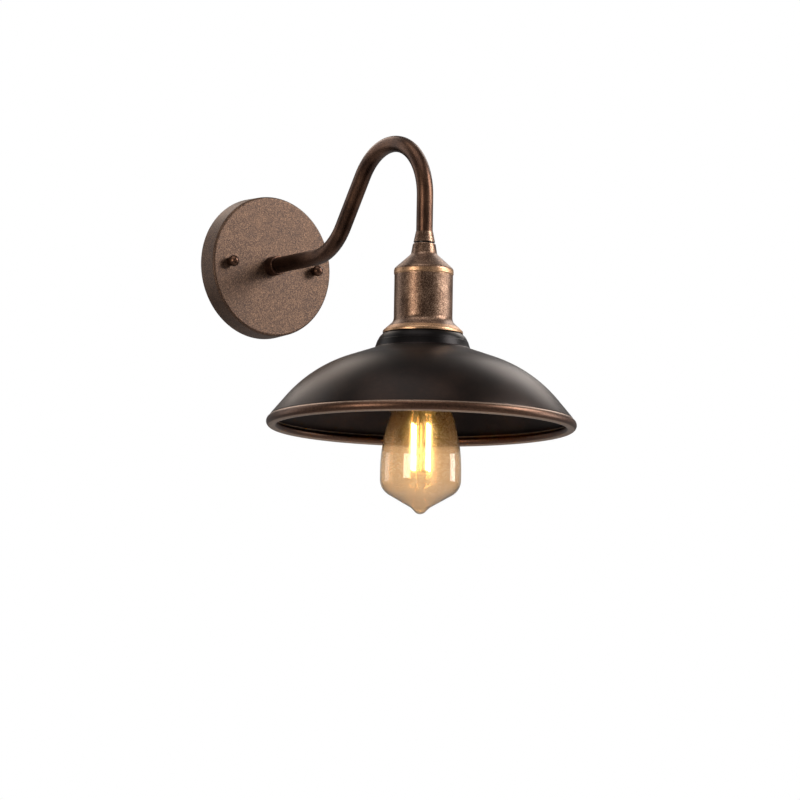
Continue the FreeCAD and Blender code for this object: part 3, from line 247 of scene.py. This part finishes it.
@dataclass(frozen=True)
class BronzePaint:
    """Speckled or mottled bronze paint, with bands of another colour at chosen heights: rubbed-through
    wear, painted highlights and painted shade.
    """

    name: str
    dark: Colour
    middle: Colour
    light: Colour
    grain: float = 0.6
    cloud: float = 9.0
    cloud_share: float = 0.4
    metal: float = 0.5
    rough_low: float = 0.35
    rough_high: float = 0.5
    relief: float = 0.03
    bands: tuple[Band, ...] = ()

    def material(self) -> bpy.types.Material:
        """Builds the material."""
        recipe = Recipe(self.name)
        fine = recipe.noise(self.grain, detail=4.0, roughness=0.65)
        broad = recipe.noise(self.cloud, detail=3.0)
        shifted = recipe.math("MULTIPLY", recipe.math("SUBTRACT", broad, 0.5), self.cloud_share)
        value = recipe.math("ADD", fine, shifted)
        colour = recipe.ramp(value, [(0.34, self.dark), (0.5, self.middle), (0.66, self.light)])
        if self.bands:
            colour = self.rub_and_paint_light(recipe, colour, fine)
        recipe.feed("Base Color", colour)
        recipe.feed("Roughness", recipe.scaled(broad, self.rough_low, self.rough_high))
        recipe.bump(fine, self.relief)
        recipe.set(Metallic=self.metal)
        return recipe.material

    def rub_and_paint_light(
        self, recipe: Recipe, colour: bpy.types.NodeSocket, fine: bpy.types.NodeSocket
    ) -> bpy.types.NodeSocket:
        """Changes the colour at the bands: rubbed wear, painted highlights and painted shade.

        Args:
            recipe: The material in the making.
            colour: The paint's colour.
            fine: The fine noise that breaks up the bands' edges.

        Returns:
            The colour with the bands.
        """
        wobble = recipe.math("MULTIPLY", recipe.math("SUBTRACT", fine, 0.5), EDGE_WOBBLE * MM)
        height = recipe.math("ADD", recipe.height(), wobble)
        for band in self.bands:
            # each band's colour is rubbed metal, a painted highlight line or painted shade, as its finish
            # lists it
            band_colour = recipe.ramp(fine, [(0.36, band.dull), (0.62, band.bright)])
            low = recipe.window(height, (band.low - band.soft) * MM, band.low * MM)
            high = recipe.window(height, (band.high + band.soft) * MM, band.high * MM)
            colour = recipe.mix(recipe.math("MULTIPLY", low, high), colour, band_colour)
        return colour


@dataclass(frozen=True)
class BareMetal:
    """Plated or bare metal with fine draw marks and light tarnish."""

    name: str
    clean: Colour
    tarnished: Colour
    rough_low: float = 0.22
    rough_high: float = 0.42
    threads: float = 0.0

    def material(self) -> bpy.types.Material:
        """Builds the material."""
        recipe = Recipe(self.name)
        cloud = recipe.noise(4.0, detail=4.0)
        marks = recipe.noise(0.35, detail=2.0, stretch=(1.0, 6.0))
        recipe.feed("Base Color", recipe.ramp(cloud, [(0.35, self.tarnished), (0.6, self.clean)]))
        recipe.feed("Roughness", recipe.scaled(marks, self.rough_low, self.rough_high))
        if self.threads:
            recipe.bump(recipe.helix(self.threads), THREAD_DEPTH)
        else:
            recipe.bump(marks, DRAW_MARK_DEPTH)
        recipe.set(Metallic=1.0)
        return recipe.material


@dataclass(frozen=True)
class Moulding:
    """Moulded plastic, ceramic or insulation: a faint mottle and a soft skin."""

    name: str
    colour: Colour
    shade: Colour
    rough_low: float = 0.38
    rough_high: float = 0.5
    grain: float = 0.4
    relief: float = 0.01

    def material(self) -> bpy.types.Material:
        """Builds the material."""
        recipe = Recipe(self.name)
        cloud = recipe.noise(5.0, detail=4.0)
        skin = recipe.noise(self.grain, detail=2.0)
        recipe.feed("Base Color", recipe.ramp(cloud, [(0.3, self.shade), (0.65, self.colour)]))
        recipe.feed("Roughness", recipe.scaled(skin, self.rough_low, self.rough_high))
        recipe.bump(skin, self.relief)
        return recipe.material


@dataclass(frozen=True)
class BlownGlass:
    """Clear or tinted glass with faint waves from blowing, and a fine haze that spreads a bright light."""

    name: str
    tint: Colour
    haze: float = 0.0
    wave: float = 0.02

    def material(self) -> bpy.types.Material:
        """Builds the material."""
        recipe = Recipe(self.name)
        waves = recipe.noise(14.0, detail=1.0, stretch=(1.0, 3.0))
        recipe.bump(waves, self.wave)
        specks = recipe.window(recipe.noise(0.3, detail=1.0), 0.55, 0.64)
        recipe.feed("Roughness", recipe.scaled(specks, 0.0, self.haze))
        recipe.set(Base_Color=self.tint, IOR=1.46, Transmission_Weight=1.0)
        return recipe.material


@dataclass(frozen=True)
class GlowingCoat:
    """The coat of a light rod that is switched on."""

    name: str
    colour: Colour
    hot: Colour
    strength: float

    def material(self) -> bpy.types.Material:
        """Builds the material."""
        recipe = Recipe(self.name)
        chips = recipe.noise(1.1, detail=1.0)
        recipe.feed("Base Color", recipe.ramp(chips, [(0.4, self.colour), (0.6, self.hot)]))
        recipe.feed("Emission Color", recipe.ramp(chips, [(0.4, self.colour), (0.6, self.hot)]))
        recipe.set(Roughness=0.45, Emission_Strength=self.strength)
        return recipe.material


class Finish(Enum):
    """Every finish on the sconce."""

    CANOPY = BronzePaint(
        "canopy_bronze", rgb(32, 18, 10), rgb(70, 47, 32), rgb(120, 91, 69), grain=0.75,
        cloud=20.0, cloud_share=0.18, metal=0.6, rough_low=0.42, rough_high=0.55, relief=0.06,
    )
    NUTS = BronzePaint(
        "nut_bronze", rgb(34, 20, 14), rgb(74, 48, 34), rgb(128, 92, 70), grain=0.5,
        metal=0.8, rough_low=0.26, rough_high=0.4,
    )
    COLLAR = BronzePaint(
        "collar_bronze", rgb(32, 18, 11), rgb(66, 40, 27), rgb(104, 72, 52), grain=0.6,
        metal=0.75, rough_low=0.34, rough_high=0.46, relief=0.03,
    )
    ARM = BronzePaint(
        "arm_bronze", rgb(34, 20, 13), rgb(68, 44, 31), rgb(106, 76, 57), grain=0.5,
        cloud=24.0, cloud_share=0.5, metal=0.85, rough_low=0.3, rough_high=0.42, relief=0.02,
    )
    CUP = BronzePaint(
        "cup_bronze", rgb(42, 25, 16), rgb(96, 70, 53), rgb(168, 138, 116), grain=0.75,
        cloud=9.0, cloud_share=0.22, metal=0.8, rough_low=0.3, rough_high=0.42, relief=0.06,
        bands=(
            # bead and lip: rubbed copper, brightened to paint the highlights that these rounded edges
            # catch
            Band(-33.0, -29.4, rgb(116, 80, 56), rgb(204, 162, 124)),
            Band(-80.6, -76.0, rgb(116, 80, 56), rgb(204, 162, 124)),
        ),
    )
    SHADE = BronzePaint(
        "shade_bronze", rgb(14, 8, 6), rgb(29, 18, 13), rgb(48, 33, 25), grain=0.5,
        cloud=40.0, cloud_share=0.5, metal=0.85, rough_low=0.32, rough_high=0.42, relief=0.02,
        bands=(
            Band(-170.0, -150.2, rgb(34, 21, 15), rgb(104, 74, 57), soft=0.3),
            # the crease above the rim and the foot of the roll: rubbed edges, brightened to paint thin
            # highlight lines
            Band(-150.6, -149.8, rgb(96, 72, 58), rgb(176, 150, 130), soft=0.3),
            Band(-158.6, -157.4, rgb(96, 72, 58), rgb(176, 150, 130), soft=0.5),
            # painted shade: the stepped neck is near-black, darker than the shade's own paint, where the
            # cup's lip shades it
            Band(-92.6, -70.0, rgb(6, 4, 4), rgb(18, 12, 11), soft=0.3),
        ),
    )
    BLACK = BronzePaint(
        "black_metal", rgb(14, 12, 12), rgb(24, 21, 20), rgb(40, 36, 34), grain=0.4,
        metal=0.7, rough_low=0.28, rough_high=0.38, relief=0.01,
    )
    ZINC = BareMetal("zinc_steel", rgb(196, 196, 190), rgb(150, 148, 140))
    BRASS = BareMetal("brass", rgb(214, 176, 104), rgb(150, 112, 58))
    SPRING = BareMetal("phosphor_bronze", rgb(206, 150, 104), rgb(150, 98, 62))
    CAP = BareMetal("cap_nickel", rgb(205, 198, 182), rgb(152, 140, 118), 0.16, 0.34, threads=5.92)
    SHELL = BareMetal("shell_nickel", rgb(205, 198, 182), rgb(152, 140, 118), 0.16, 0.34, threads=6.61)
    WIRE = BareMetal("rod_wire", rgb(150, 140, 124), rgb(96, 86, 72))
    BLACK_MOULDING = Moulding("black_moulding", rgb(34, 33, 34), rgb(22, 21, 22))
    WHITE_MOULDING = Moulding("white_moulding", rgb(228, 224, 212), rgb(208, 202, 188))
    CERAMIC = Moulding("core_ceramic", rgb(232, 228, 214), rgb(206, 198, 180), 0.5, 0.7, 0.3, 0.02)
    BLACK_GLASS = Moulding("black_glass", rgb(20, 19, 24), rgb(12, 11, 16), 0.08, 0.16)
    AMBER = BlownGlass("amber_glass", rgb(233, 208, 178), haze=0.45)
    STEM = BlownGlass("stem_glass", rgb(250, 246, 236))
    GLOW = GlowingCoat("light_rod", rgb(255, 206, 104), rgb(255, 236, 176), 95.0)
    LIVE = Moulding("lead_black", rgb(30, 29, 30), rgb(20, 19, 20), 0.3, 0.4)
    NEUTRAL = Moulding("lead_white", rgb(226, 224, 216), rgb(206, 203, 192), 0.3, 0.4)
    EARTH = Moulding("lead_green", rgb(40, 124, 62), rgb(28, 96, 46), 0.3, 0.4)


class Finishes:
    """Hands out each finish's material, made once."""

    def __init__(self) -> None:
        """Starts with no material made."""
        self.made: dict[Finish, bpy.types.Material] = {}

    def get(self, finish: Finish) -> bpy.types.Material:
        """Gives the material of a finish.

        Args:
            finish: The finish.

        Returns:
            Its material.
        """
        if finish not in self.made:
            self.made[finish] = finish.value.material()
        return self.made[finish]

    def dress_node(self, node: str, finish: Finish) -> None:
        """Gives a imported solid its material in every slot."""
        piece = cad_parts[node]
        if not piece.material_slots:
            piece.data.materials.append(self.get(finish))
        for slot in piece.material_slots:
            slot.material = self.get(finish)


# ---- making pieces ----


class Outline:
    """The outer line of a turned piece, drawn from the top: radius and height in millimetres.

    A slope is the line's fall in degrees: 0 runs outwards, 90 straight down and 180 inwards.
    """

    def __init__(self, radius: float, height: float) -> None:
        """Starts the line at a point."""
        self.points: list[Sample] = [(radius, height)]

    def to(self, radius: float, height: float) -> "Outline":
        """Draws a straight to a point."""
        self.points.append((radius, height))
        return self

    def out_to(self, radius: float, slope: float) -> "Outline":
        """Draws a straight of one slope until it reaches a radius."""
        last_radius, last_height = self.points[-1]
        return self.to(radius, last_height - (radius - last_radius) * math.tan(math.radians(slope)))

    def down_to(self, height: float, slope: float) -> "Outline":
        """Draws a straight of one slope until it reaches a height."""
        last_radius, last_height = self.points[-1]
        return self.to(last_radius + (last_height - height) / math.tan(math.radians(slope)), height)

    def bend(self, radius: float, start: float, finish: float, step: float = 7.5) -> "Outline":
        """Draws a round from one slope to another, bulging where the slope grows.

        Args:
            radius: The radius of the round.
            start: The slope where it starts.
            finish: The slope where it ends.
            step: The most degrees between two points.

        Returns:
            The outline itself.
        """
        signed = radius if finish > start else -radius
        first_radius, first_height = self.points[-1]
        count = max(2, math.ceil(abs(finish - start) / step))
        base_sine = math.sin(math.radians(start))
        base_cosine = math.cos(math.radians(start))
        for index in range(1, count + 1):
            slope = math.radians(start + (finish - start) * index / count)
            across = signed * (math.sin(slope) - base_sine)
            along = signed * (math.cos(slope) - base_cosine)
            self.points.append((first_radius + across, first_height + along))
        return self


@dataclass(frozen=True)
class Axis:
    """The line that a turned piece stands round, in metres."""

    origin: Vector
    along: Vector
    across: Vector

    def point(self, sample: Sample) -> Vector:
        """The place of a radius and a height, both in millimetres."""
        return self.origin + self.across * (sample[0] * MM) + self.along * (sample[1] * MM)


class Bench:
    """The tools that shape a mesh in edit mode."""

    @staticmethod
    def clear_selection() -> None:
        """Leaves edit mode and selects nothing."""
        if bpy.context.object and bpy.context.object.mode != "OBJECT":
            bpy.ops.object.mode_set(mode="OBJECT")
        bpy.ops.object.select_all(action="DESELECT")

    @staticmethod
    def start_point(name: str, place: Vector) -> bpy.types.Object:
        """Adds a small plane, merges it to one point and stays in edit mode.

        Args:
            name: The piece's name.
            place: Where the point is.

        Returns:
            The piece.
        """
        Bench.clear_selection()
        bpy.ops.mesh.primitive_plane_add(size=MM, location=place)
        piece = bpy.context.object
        piece.name = name
        piece.data.name = name
        bpy.ops.object.transform_apply(location=True, rotation=True, scale=True)
        bpy.ops.object.mode_set(mode="EDIT")
        bpy.ops.mesh.select_all(action="SELECT")
        bpy.ops.mesh.merge(type="CENTER")
        return piece

    @staticmethod
    def extrude_line(points: list[Vector]) -> None:
        """Extrudes the selected point along a line of points, the first being where it stands."""
        for before, after in zip(points, points[1:]):
            bpy.ops.mesh.extrude_region_move(TRANSFORM_OT_translate={"value": after - before})

    @staticmethod
    def close_and_turn_out() -> None:
        """Merges doubles and points the faces outwards."""
        bpy.ops.mesh.select_all(action="SELECT")
        bpy.ops.mesh.remove_doubles(threshold=MERGE_DISTANCE * MM)
        bpy.ops.mesh.normals_make_consistent(inside=False)

    @staticmethod
    def finish(piece: bpy.types.Object) -> bpy.types.Object:
        """Leaves edit mode and smooths the faces that meet at less than the smooth angle.

        Args:
            piece: The piece.

        Returns:
            The piece.
        """
        Bench.clear_selection()
        piece.select_set(True)
        bpy.context.view_layer.objects.active = piece
        bpy.ops.object.shade_smooth_by_angle(angle=math.radians(SMOOTH_ANGLE))
        return piece

    @staticmethod
    def apply_modifiers(piece: bpy.types.Object) -> None:
        """Applies every modifier of the piece."""
        Bench.clear_selection()
        piece.select_set(True)
        bpy.context.view_layer.objects.active = piece
        for modifier in list(piece.modifiers):
            bpy.ops.object.modifier_apply(modifier=modifier.name)

    @staticmethod
    def thicken(piece: bpy.types.Object, wall: float) -> None:
        """Gives an outer skin a wall inwards.

        Args:
            piece: The piece.
            wall: The wall in millimetres.
        """
        modifier = piece.modifiers.new("wall", "SOLIDIFY")
        modifier.thickness = wall * MM
        modifier.offset = -1.0
        modifier.use_even_offset = True
        modifier.use_rim = True
        Bench.apply_modifiers(piece)

    @staticmethod
    def turn(name: str, axis: Axis, outline: Outline, steps: int) -> bpy.types.Object:
        """Turns an outline round an axis.

        Args:
            name: The piece's name.
            axis: The axis.
            outline: The line to turn.
            steps: The number of faces round the piece.

        Returns:
            The piece, an open skin unless its outline closes.
        """
        points = [axis.point(sample) for sample in outline.points]
        piece = Bench.start_point(name, points[0])
        Bench.extrude_line(points)
        bpy.ops.mesh.select_all(action="SELECT")
        bpy.ops.mesh.spin(steps=steps, angle=math.tau, center=axis.origin, axis=axis.along)
        Bench.close_and_turn_out()
        return Bench.finish(piece)

    @staticmethod
    def face_out(piece: bpy.types.Object, axis: Axis) -> None:
        """Turns an open skin round if its faces point to the axis."""
        balance = 0.0
        for face in piece.data.polygons:
            outwards = face.center - axis.origin
            outwards -= axis.along * outwards.dot(axis.along)
            balance += face.area * outwards.normalized().dot(face.normal)
        if balance < 0:
            Bench.clear_selection()
            bpy.context.view_layer.objects.active = piece
            bpy.ops.object.mode_set(mode="EDIT")
            bpy.ops.mesh.select_all(action="SELECT")
            bpy.ops.mesh.flip_normals()
            bpy.ops.object.mode_set(mode="OBJECT")


def settle(piece: bpy.types.Object, body: str, slot: str, *nodes: str) -> None:
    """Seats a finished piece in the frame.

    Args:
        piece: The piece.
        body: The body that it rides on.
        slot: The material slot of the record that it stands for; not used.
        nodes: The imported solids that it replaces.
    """
    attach(piece, body)
    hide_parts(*nodes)
    LOG.info("%s: %d faces for %s", piece.name, len(piece.data.polygons), ", ".join(nodes))


# ---- the sub-assemblies ----


class Group:
    """A sub-assembly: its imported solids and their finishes."""

    BODY = "fixture"
    NODES: dict[str, Finish] = {}

    def __init__(self, finishes: Finishes) -> None:
        """Keeps the shelf of finishes.

        Args:
            finishes: The materials, made once.
        """
        self.finishes = finishes

    def dress(self) -> None:
        """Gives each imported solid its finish."""
        for node, finish in self.NODES.items():
            self.finishes.dress_node(node, finish)
            LOG.info("%s: %s", node, finish.value.name)


class WallPlate(Group):
    """The plate on the wall, what holds it and the terminals behind it."""

    NODES = {
        "canopy": Finish.CANOPY,
        "ball_cap_nuts": Finish.NUTS,
        "mounting_bracket": Finish.ZINC,
        "canopy_studs": Finish.ZINC,
        "stud_lock_nuts": Finish.ZINC,
        "foot_pipe": Finish.ZINC,
        "foot_pipe_nut": Finish.ZINC,
        "terminal_block": Finish.WHITE_MOULDING,
        "terminal_barrels": Finish.BRASS,
        "clamp_screws": Finish.ZINC,
        "block_screws": Finish.ZINC,
        "ground_lug": Finish.ZINC,
        "ground_screw": Finish.ZINC,
    }


class Arm(Group):
    """The bent tube with its collar at the plate and its ferrule at the cup."""

    NODES = {
        "arm_collar": Finish.COLLAR,
        "arm_tube": Finish.ARM,
        "arm_ferrule": Finish.CUP,
        "ferrule_spacer": Finish.BLACK,
        "head_pipe": Finish.ZINC,
        "lock_washer": Finish.ZINC,
        "cup_nut": Finish.ZINC,
    }


@dataclass(frozen=True)
class ShadeSizes:
    """The outer line of the shade, in millimetres and degrees."""

    bore: float = 20.1
    seat: float = 25.9
    neck_round: float = 11.0
    neck_slope: float = 72.0
    step_one: float = 7.7
    step_two: float = 5.4
    ledge: float = 0.4
    ledge_drop: float = 0.3
    hollow: float = 1.6
    cone_share: float = 0.3196
    side: float = 18.2
    top_slope: float = 19.0
    side_slope: float = 50.0
    rim: float = 125.0
    roll: float = 4.5
    rim_slope: float = 25.0
    rim_ledge: float = 0.7
    crease: float = 1.5
    wall: float = 1.0
    seat_height: float = -79.4


class LampHead(Group):
    """The spun cup, the shade and the lampholder that goes through it."""

    NODES = {
        "socket_cup": Finish.CUP,
        "lampholder_cap": Finish.BLACK_MOULDING,
        "lampholder_skirt": Finish.BLACK_MOULDING,
        "flange_ring": Finish.BLACK_MOULDING,
        "shade_ring": Finish.BLACK_MOULDING,
        "ceramic_core": Finish.CERAMIC,
        "screw_shell": Finish.SHELL,
        "spring_contact": Finish.SPRING,
        "holder_terminals": Finish.BRASS,
        "holder_terminal_screws": Finish.BRASS,
    }
    REACH = 240.0

    def build(self, size: ShadeSizes) -> None:
        """Spins the shade and gives it its wall.

        Args:
            size: The shade's sizes.
        """
        axis = Axis(
            Vector((0.0, -self.REACH * MM, size.seat_height * MM)), Vector((0, 0, 1)), Vector((1, 0, 0))
        )
        shade = Bench.turn("shade_spun", axis, self.shade_line(size), steps=192)
        Bench.face_out(shade, axis)
        Bench.thicken(shade, size.wall)
        Bench.finish(shade)
        shade.data.materials.append(self.finishes.get(Finish.SHADE))
        settle(shade, self.BODY, "shade_bronze", "shade")

    @staticmethod
    def shade_line(size: ShadeSizes) -> Outline:
        """Draws the shade's outer line downwards from its seat.

        Args:
            size: The shade's sizes.

        Returns:
            The line.
        """
        rim_angle = math.radians(size.rim_slope)
        roll_radius = size.rim - size.roll * (1 - math.sin(rim_angle))
        line = Outline(size.bore, 0.0).out_to(size.seat, 0.0)
        line.bend(size.neck_round, 0.0, size.neck_slope)
        line.down_to(-size.step_one, size.neck_slope)
        ledge_radius, ledge_height = line.points[-1]
        line.to(ledge_radius + size.ledge, ledge_height - size.ledge_drop)
        line.down_to(-size.step_one - size.step_two, size.neck_slope)
        line.bend(size.hollow, size.neck_slope, size.top_slope, step=12.0)
        cone_radius = line.points[-1][0]
        crease_radius = roll_radius - size.rim_ledge
        side_radius = crease_radius - size.side * math.cos(math.radians(size.side_slope))
        round_radius = cone_radius + (side_radius - cone_radius) * size.cone_share
        sines = math.sin(math.radians(size.side_slope)) - math.sin(math.radians(size.top_slope))
        line.out_to(round_radius, size.top_slope)
        line.bend((side_radius - round_radius) / sines, size.top_slope, size.side_slope, step=1.2)
        line.out_to(crease_radius, size.side_slope)
        line.to(roll_radius, line.points[-1][1] - size.crease)
        return line.bend(size.roll, size.rim_slope, 270.0, step=9.0)


class Bulb(Group):
    """The bulb: glass, cap, foot and the light rods on their stem."""

    NODES = {
        "bulb_glass": Finish.AMBER,
        "bulb_cap": Finish.CAP,
        "bulb_insulator": Finish.BLACK_GLASS,
        "bulb_contact": Finish.BRASS,
        "bulb_stem": Finish.STEM,
        "light_rods": Finish.GLOW,
        "rod_wires": Finish.WIRE,
    }


class Wiring(Group):
    """The three leads."""

    NODES = {
        "live_lead": Finish.LIVE,
        "neutral_lead": Finish.NEUTRAL,
        "earth_lead": Finish.EARTH,
    }


# ---- the studio ----


@dataclass(frozen=True)
class SoftBox:
    """A square lamp that faces the lamp head.

    The azimuth is in degrees from the camera's own side, to its right, and lengths are in metres.
    """

    name: str
    azimuth: float
    elevation: float
    distance: float
    width: float
    tall: float
    power: float
    colour: Colour = (1.0, 1.0, 1.0)
    shines_only: bool = False


class Studio:
    """Camera, lamps, world and floor."""

    CAMERA = Vector((-2.2114, -3.3605, -0.6151))
    AIM = Vector((0.0587, -0.12585, -0.11884))
    ROLL = 0.94
    LENS = 215.5
    SENSOR = 36.0
    HEART = Vector((0.0, -0.24, -0.15))
    FLOOR = -1.2
    FLOOR_SIDE = 60.0
    SURROUND = 0.2
    BOXES = (
        SoftBox("key_right", 84.0, 30.0, 1.7, 0.7, 0.9, 36.0),
        SoftBox("shine_right", 104.0, 2.0, 1.6, 0.6, 0.7, 9.0, shines_only=True),
        SoftBox("front_left", -40.0, 4.0, 1.7, 0.6, 0.8, 16.0, (1.0, 0.93, 0.84), shines_only=True),
        SoftBox("tall_left", -112.0, 18.0, 1.6, 0.6, 1.8, 6.0, shines_only=True),
        SoftBox("top", -30.0, 70.0, 1.6, 1.2, 1.0, 9.0),
        SoftBox("back_left", -150.0, 38.0, 1.6, 0.6, 0.7, 4.0, (1.0, 0.88, 0.78), True),
        SoftBox("back_right", 150.0, 38.0, 1.6, 0.6, 0.7, 4.0, (1.0, 0.92, 0.86), True),
    )

    def build(self) -> None:
        """Sets up the whole studio."""
        self.build_camera()
        for box in self.BOXES:
            self.build_box(box)
        self.build_world()
        self.build_floor()

    def build_camera(self) -> None:
        """Places the camera where the object was seen from."""
        forward = (self.AIM - self.CAMERA).normalized()
        right = forward.cross(Vector((0, 0, 1))).normalized()
        upright = right.cross(forward)
        turn = math.radians(self.ROLL)
        rolled_right = right * math.cos(turn) + upright * math.sin(turn)
        rolled_up = upright * math.cos(turn) - right * math.sin(turn)
        bpy.ops.object.camera_add(location=self.CAMERA)
        camera = bpy.context.object
        camera.name = "camera"
        camera.data.lens = self.LENS
        camera.data.sensor_width = self.SENSOR
        basis = camera.matrix_world.copy()
        for row in range(3):
            basis[row][0] = rolled_right[row]
            basis[row][1] = rolled_up[row]
            basis[row][2] = -forward[row]
        camera.matrix_world = basis
        bpy.context.scene.camera = camera
        bpy.context.scene.view_settings.view_transform = "Standard"

    def build_box(self, box: SoftBox) -> None:
        """Hangs one soft box.

        Args:
            box: Its place, size and power.
        """
        ahead = self.AIM - self.CAMERA
        ahead.z = 0.0
        ahead.normalize()
        right = ahead.cross(Vector((0, 0, 1)))
        azimuth = math.radians(box.azimuth)
        elevation = math.radians(box.elevation)
        level = right * math.sin(azimuth) - ahead * math.cos(azimuth)
        way = level * math.cos(elevation) + Vector((0, 0, math.sin(elevation)))
        place = self.HEART + way * box.distance
        turn = (-way).to_track_quat("-Z", "Y").to_euler()
        bpy.ops.object.light_add(type="AREA", location=place, rotation=turn)
        lamp = bpy.context.object
        lamp.name = box.name
        lamp.data.shape = "RECTANGLE"
        lamp.data.size = box.width
        lamp.data.size_y = box.tall
        lamp.data.energy = box.power
        lamp.data.color = box.colour
        lamp.visible_diffuse = not box.shines_only
        lamp.visible_camera = False

    def build_world(self) -> None:
        """Makes a white background and a softer surround."""
        world = bpy.data.worlds.new("studio")
        bpy.context.scene.world = world
        world.use_nodes = True
        tree = world.node_tree
        tree.nodes.clear()
        rays = tree.nodes.new("ShaderNodeLightPath")
        seen = tree.nodes.new("ShaderNodeMath")
        seen.operation = "MAXIMUM"
        tree.links.new(rays.outputs["Is Camera Ray"], seen.inputs[0])
        tree.links.new(rays.outputs["Is Transmission Ray"], seen.inputs[1])
        surround = tree.nodes.new("ShaderNodeBackground")
        surround.inputs["Color"].default_value = (1.0, 1.0, 1.0, 1.0)
        surround.inputs["Strength"].default_value = self.SURROUND
        white = tree.nodes.new("ShaderNodeBackground")
        white.inputs["Color"].default_value = (1.0, 1.0, 1.0, 1.0)
        white.inputs["Strength"].default_value = 1.0
        mixed = tree.nodes.new("ShaderNodeMixShader")
        tree.links.new(seen.outputs[0], mixed.inputs[0])
        tree.links.new(surround.outputs[0], mixed.inputs[1])
        tree.links.new(white.outputs[0], mixed.inputs[2])
        output = tree.nodes.new("ShaderNodeOutputWorld")
        tree.links.new(mixed.outputs[0], output.inputs["Surface"])

    def build_floor(self) -> None:
        """Lays a white floor far below the lamp."""
        Bench.clear_selection()
        bpy.ops.mesh.primitive_plane_add(size=self.FLOOR_SIDE, location=(0.0, 0.0, self.FLOOR))
        floor = bpy.context.object
        floor.name = "floor"
        white = Moulding("floor_white", rgb(252, 252, 252), rgb(248, 248, 248))
        floor.data.materials.append(white.material())
        floor.is_shadow_catcher = True


def main() -> None:
    """Builds the sconce, its finishes and the studio."""
    logging.basicConfig(level=logging.INFO)
    finishes = Finishes()
    head = LampHead(finishes)
    head.build(ShadeSizes())
    for group in (WallPlate(finishes), Arm(finishes), head, Bulb(finishes), Wiring(finishes)):
        group.dress()
    Studio().build()


if __name__ == "__main__":
    main()
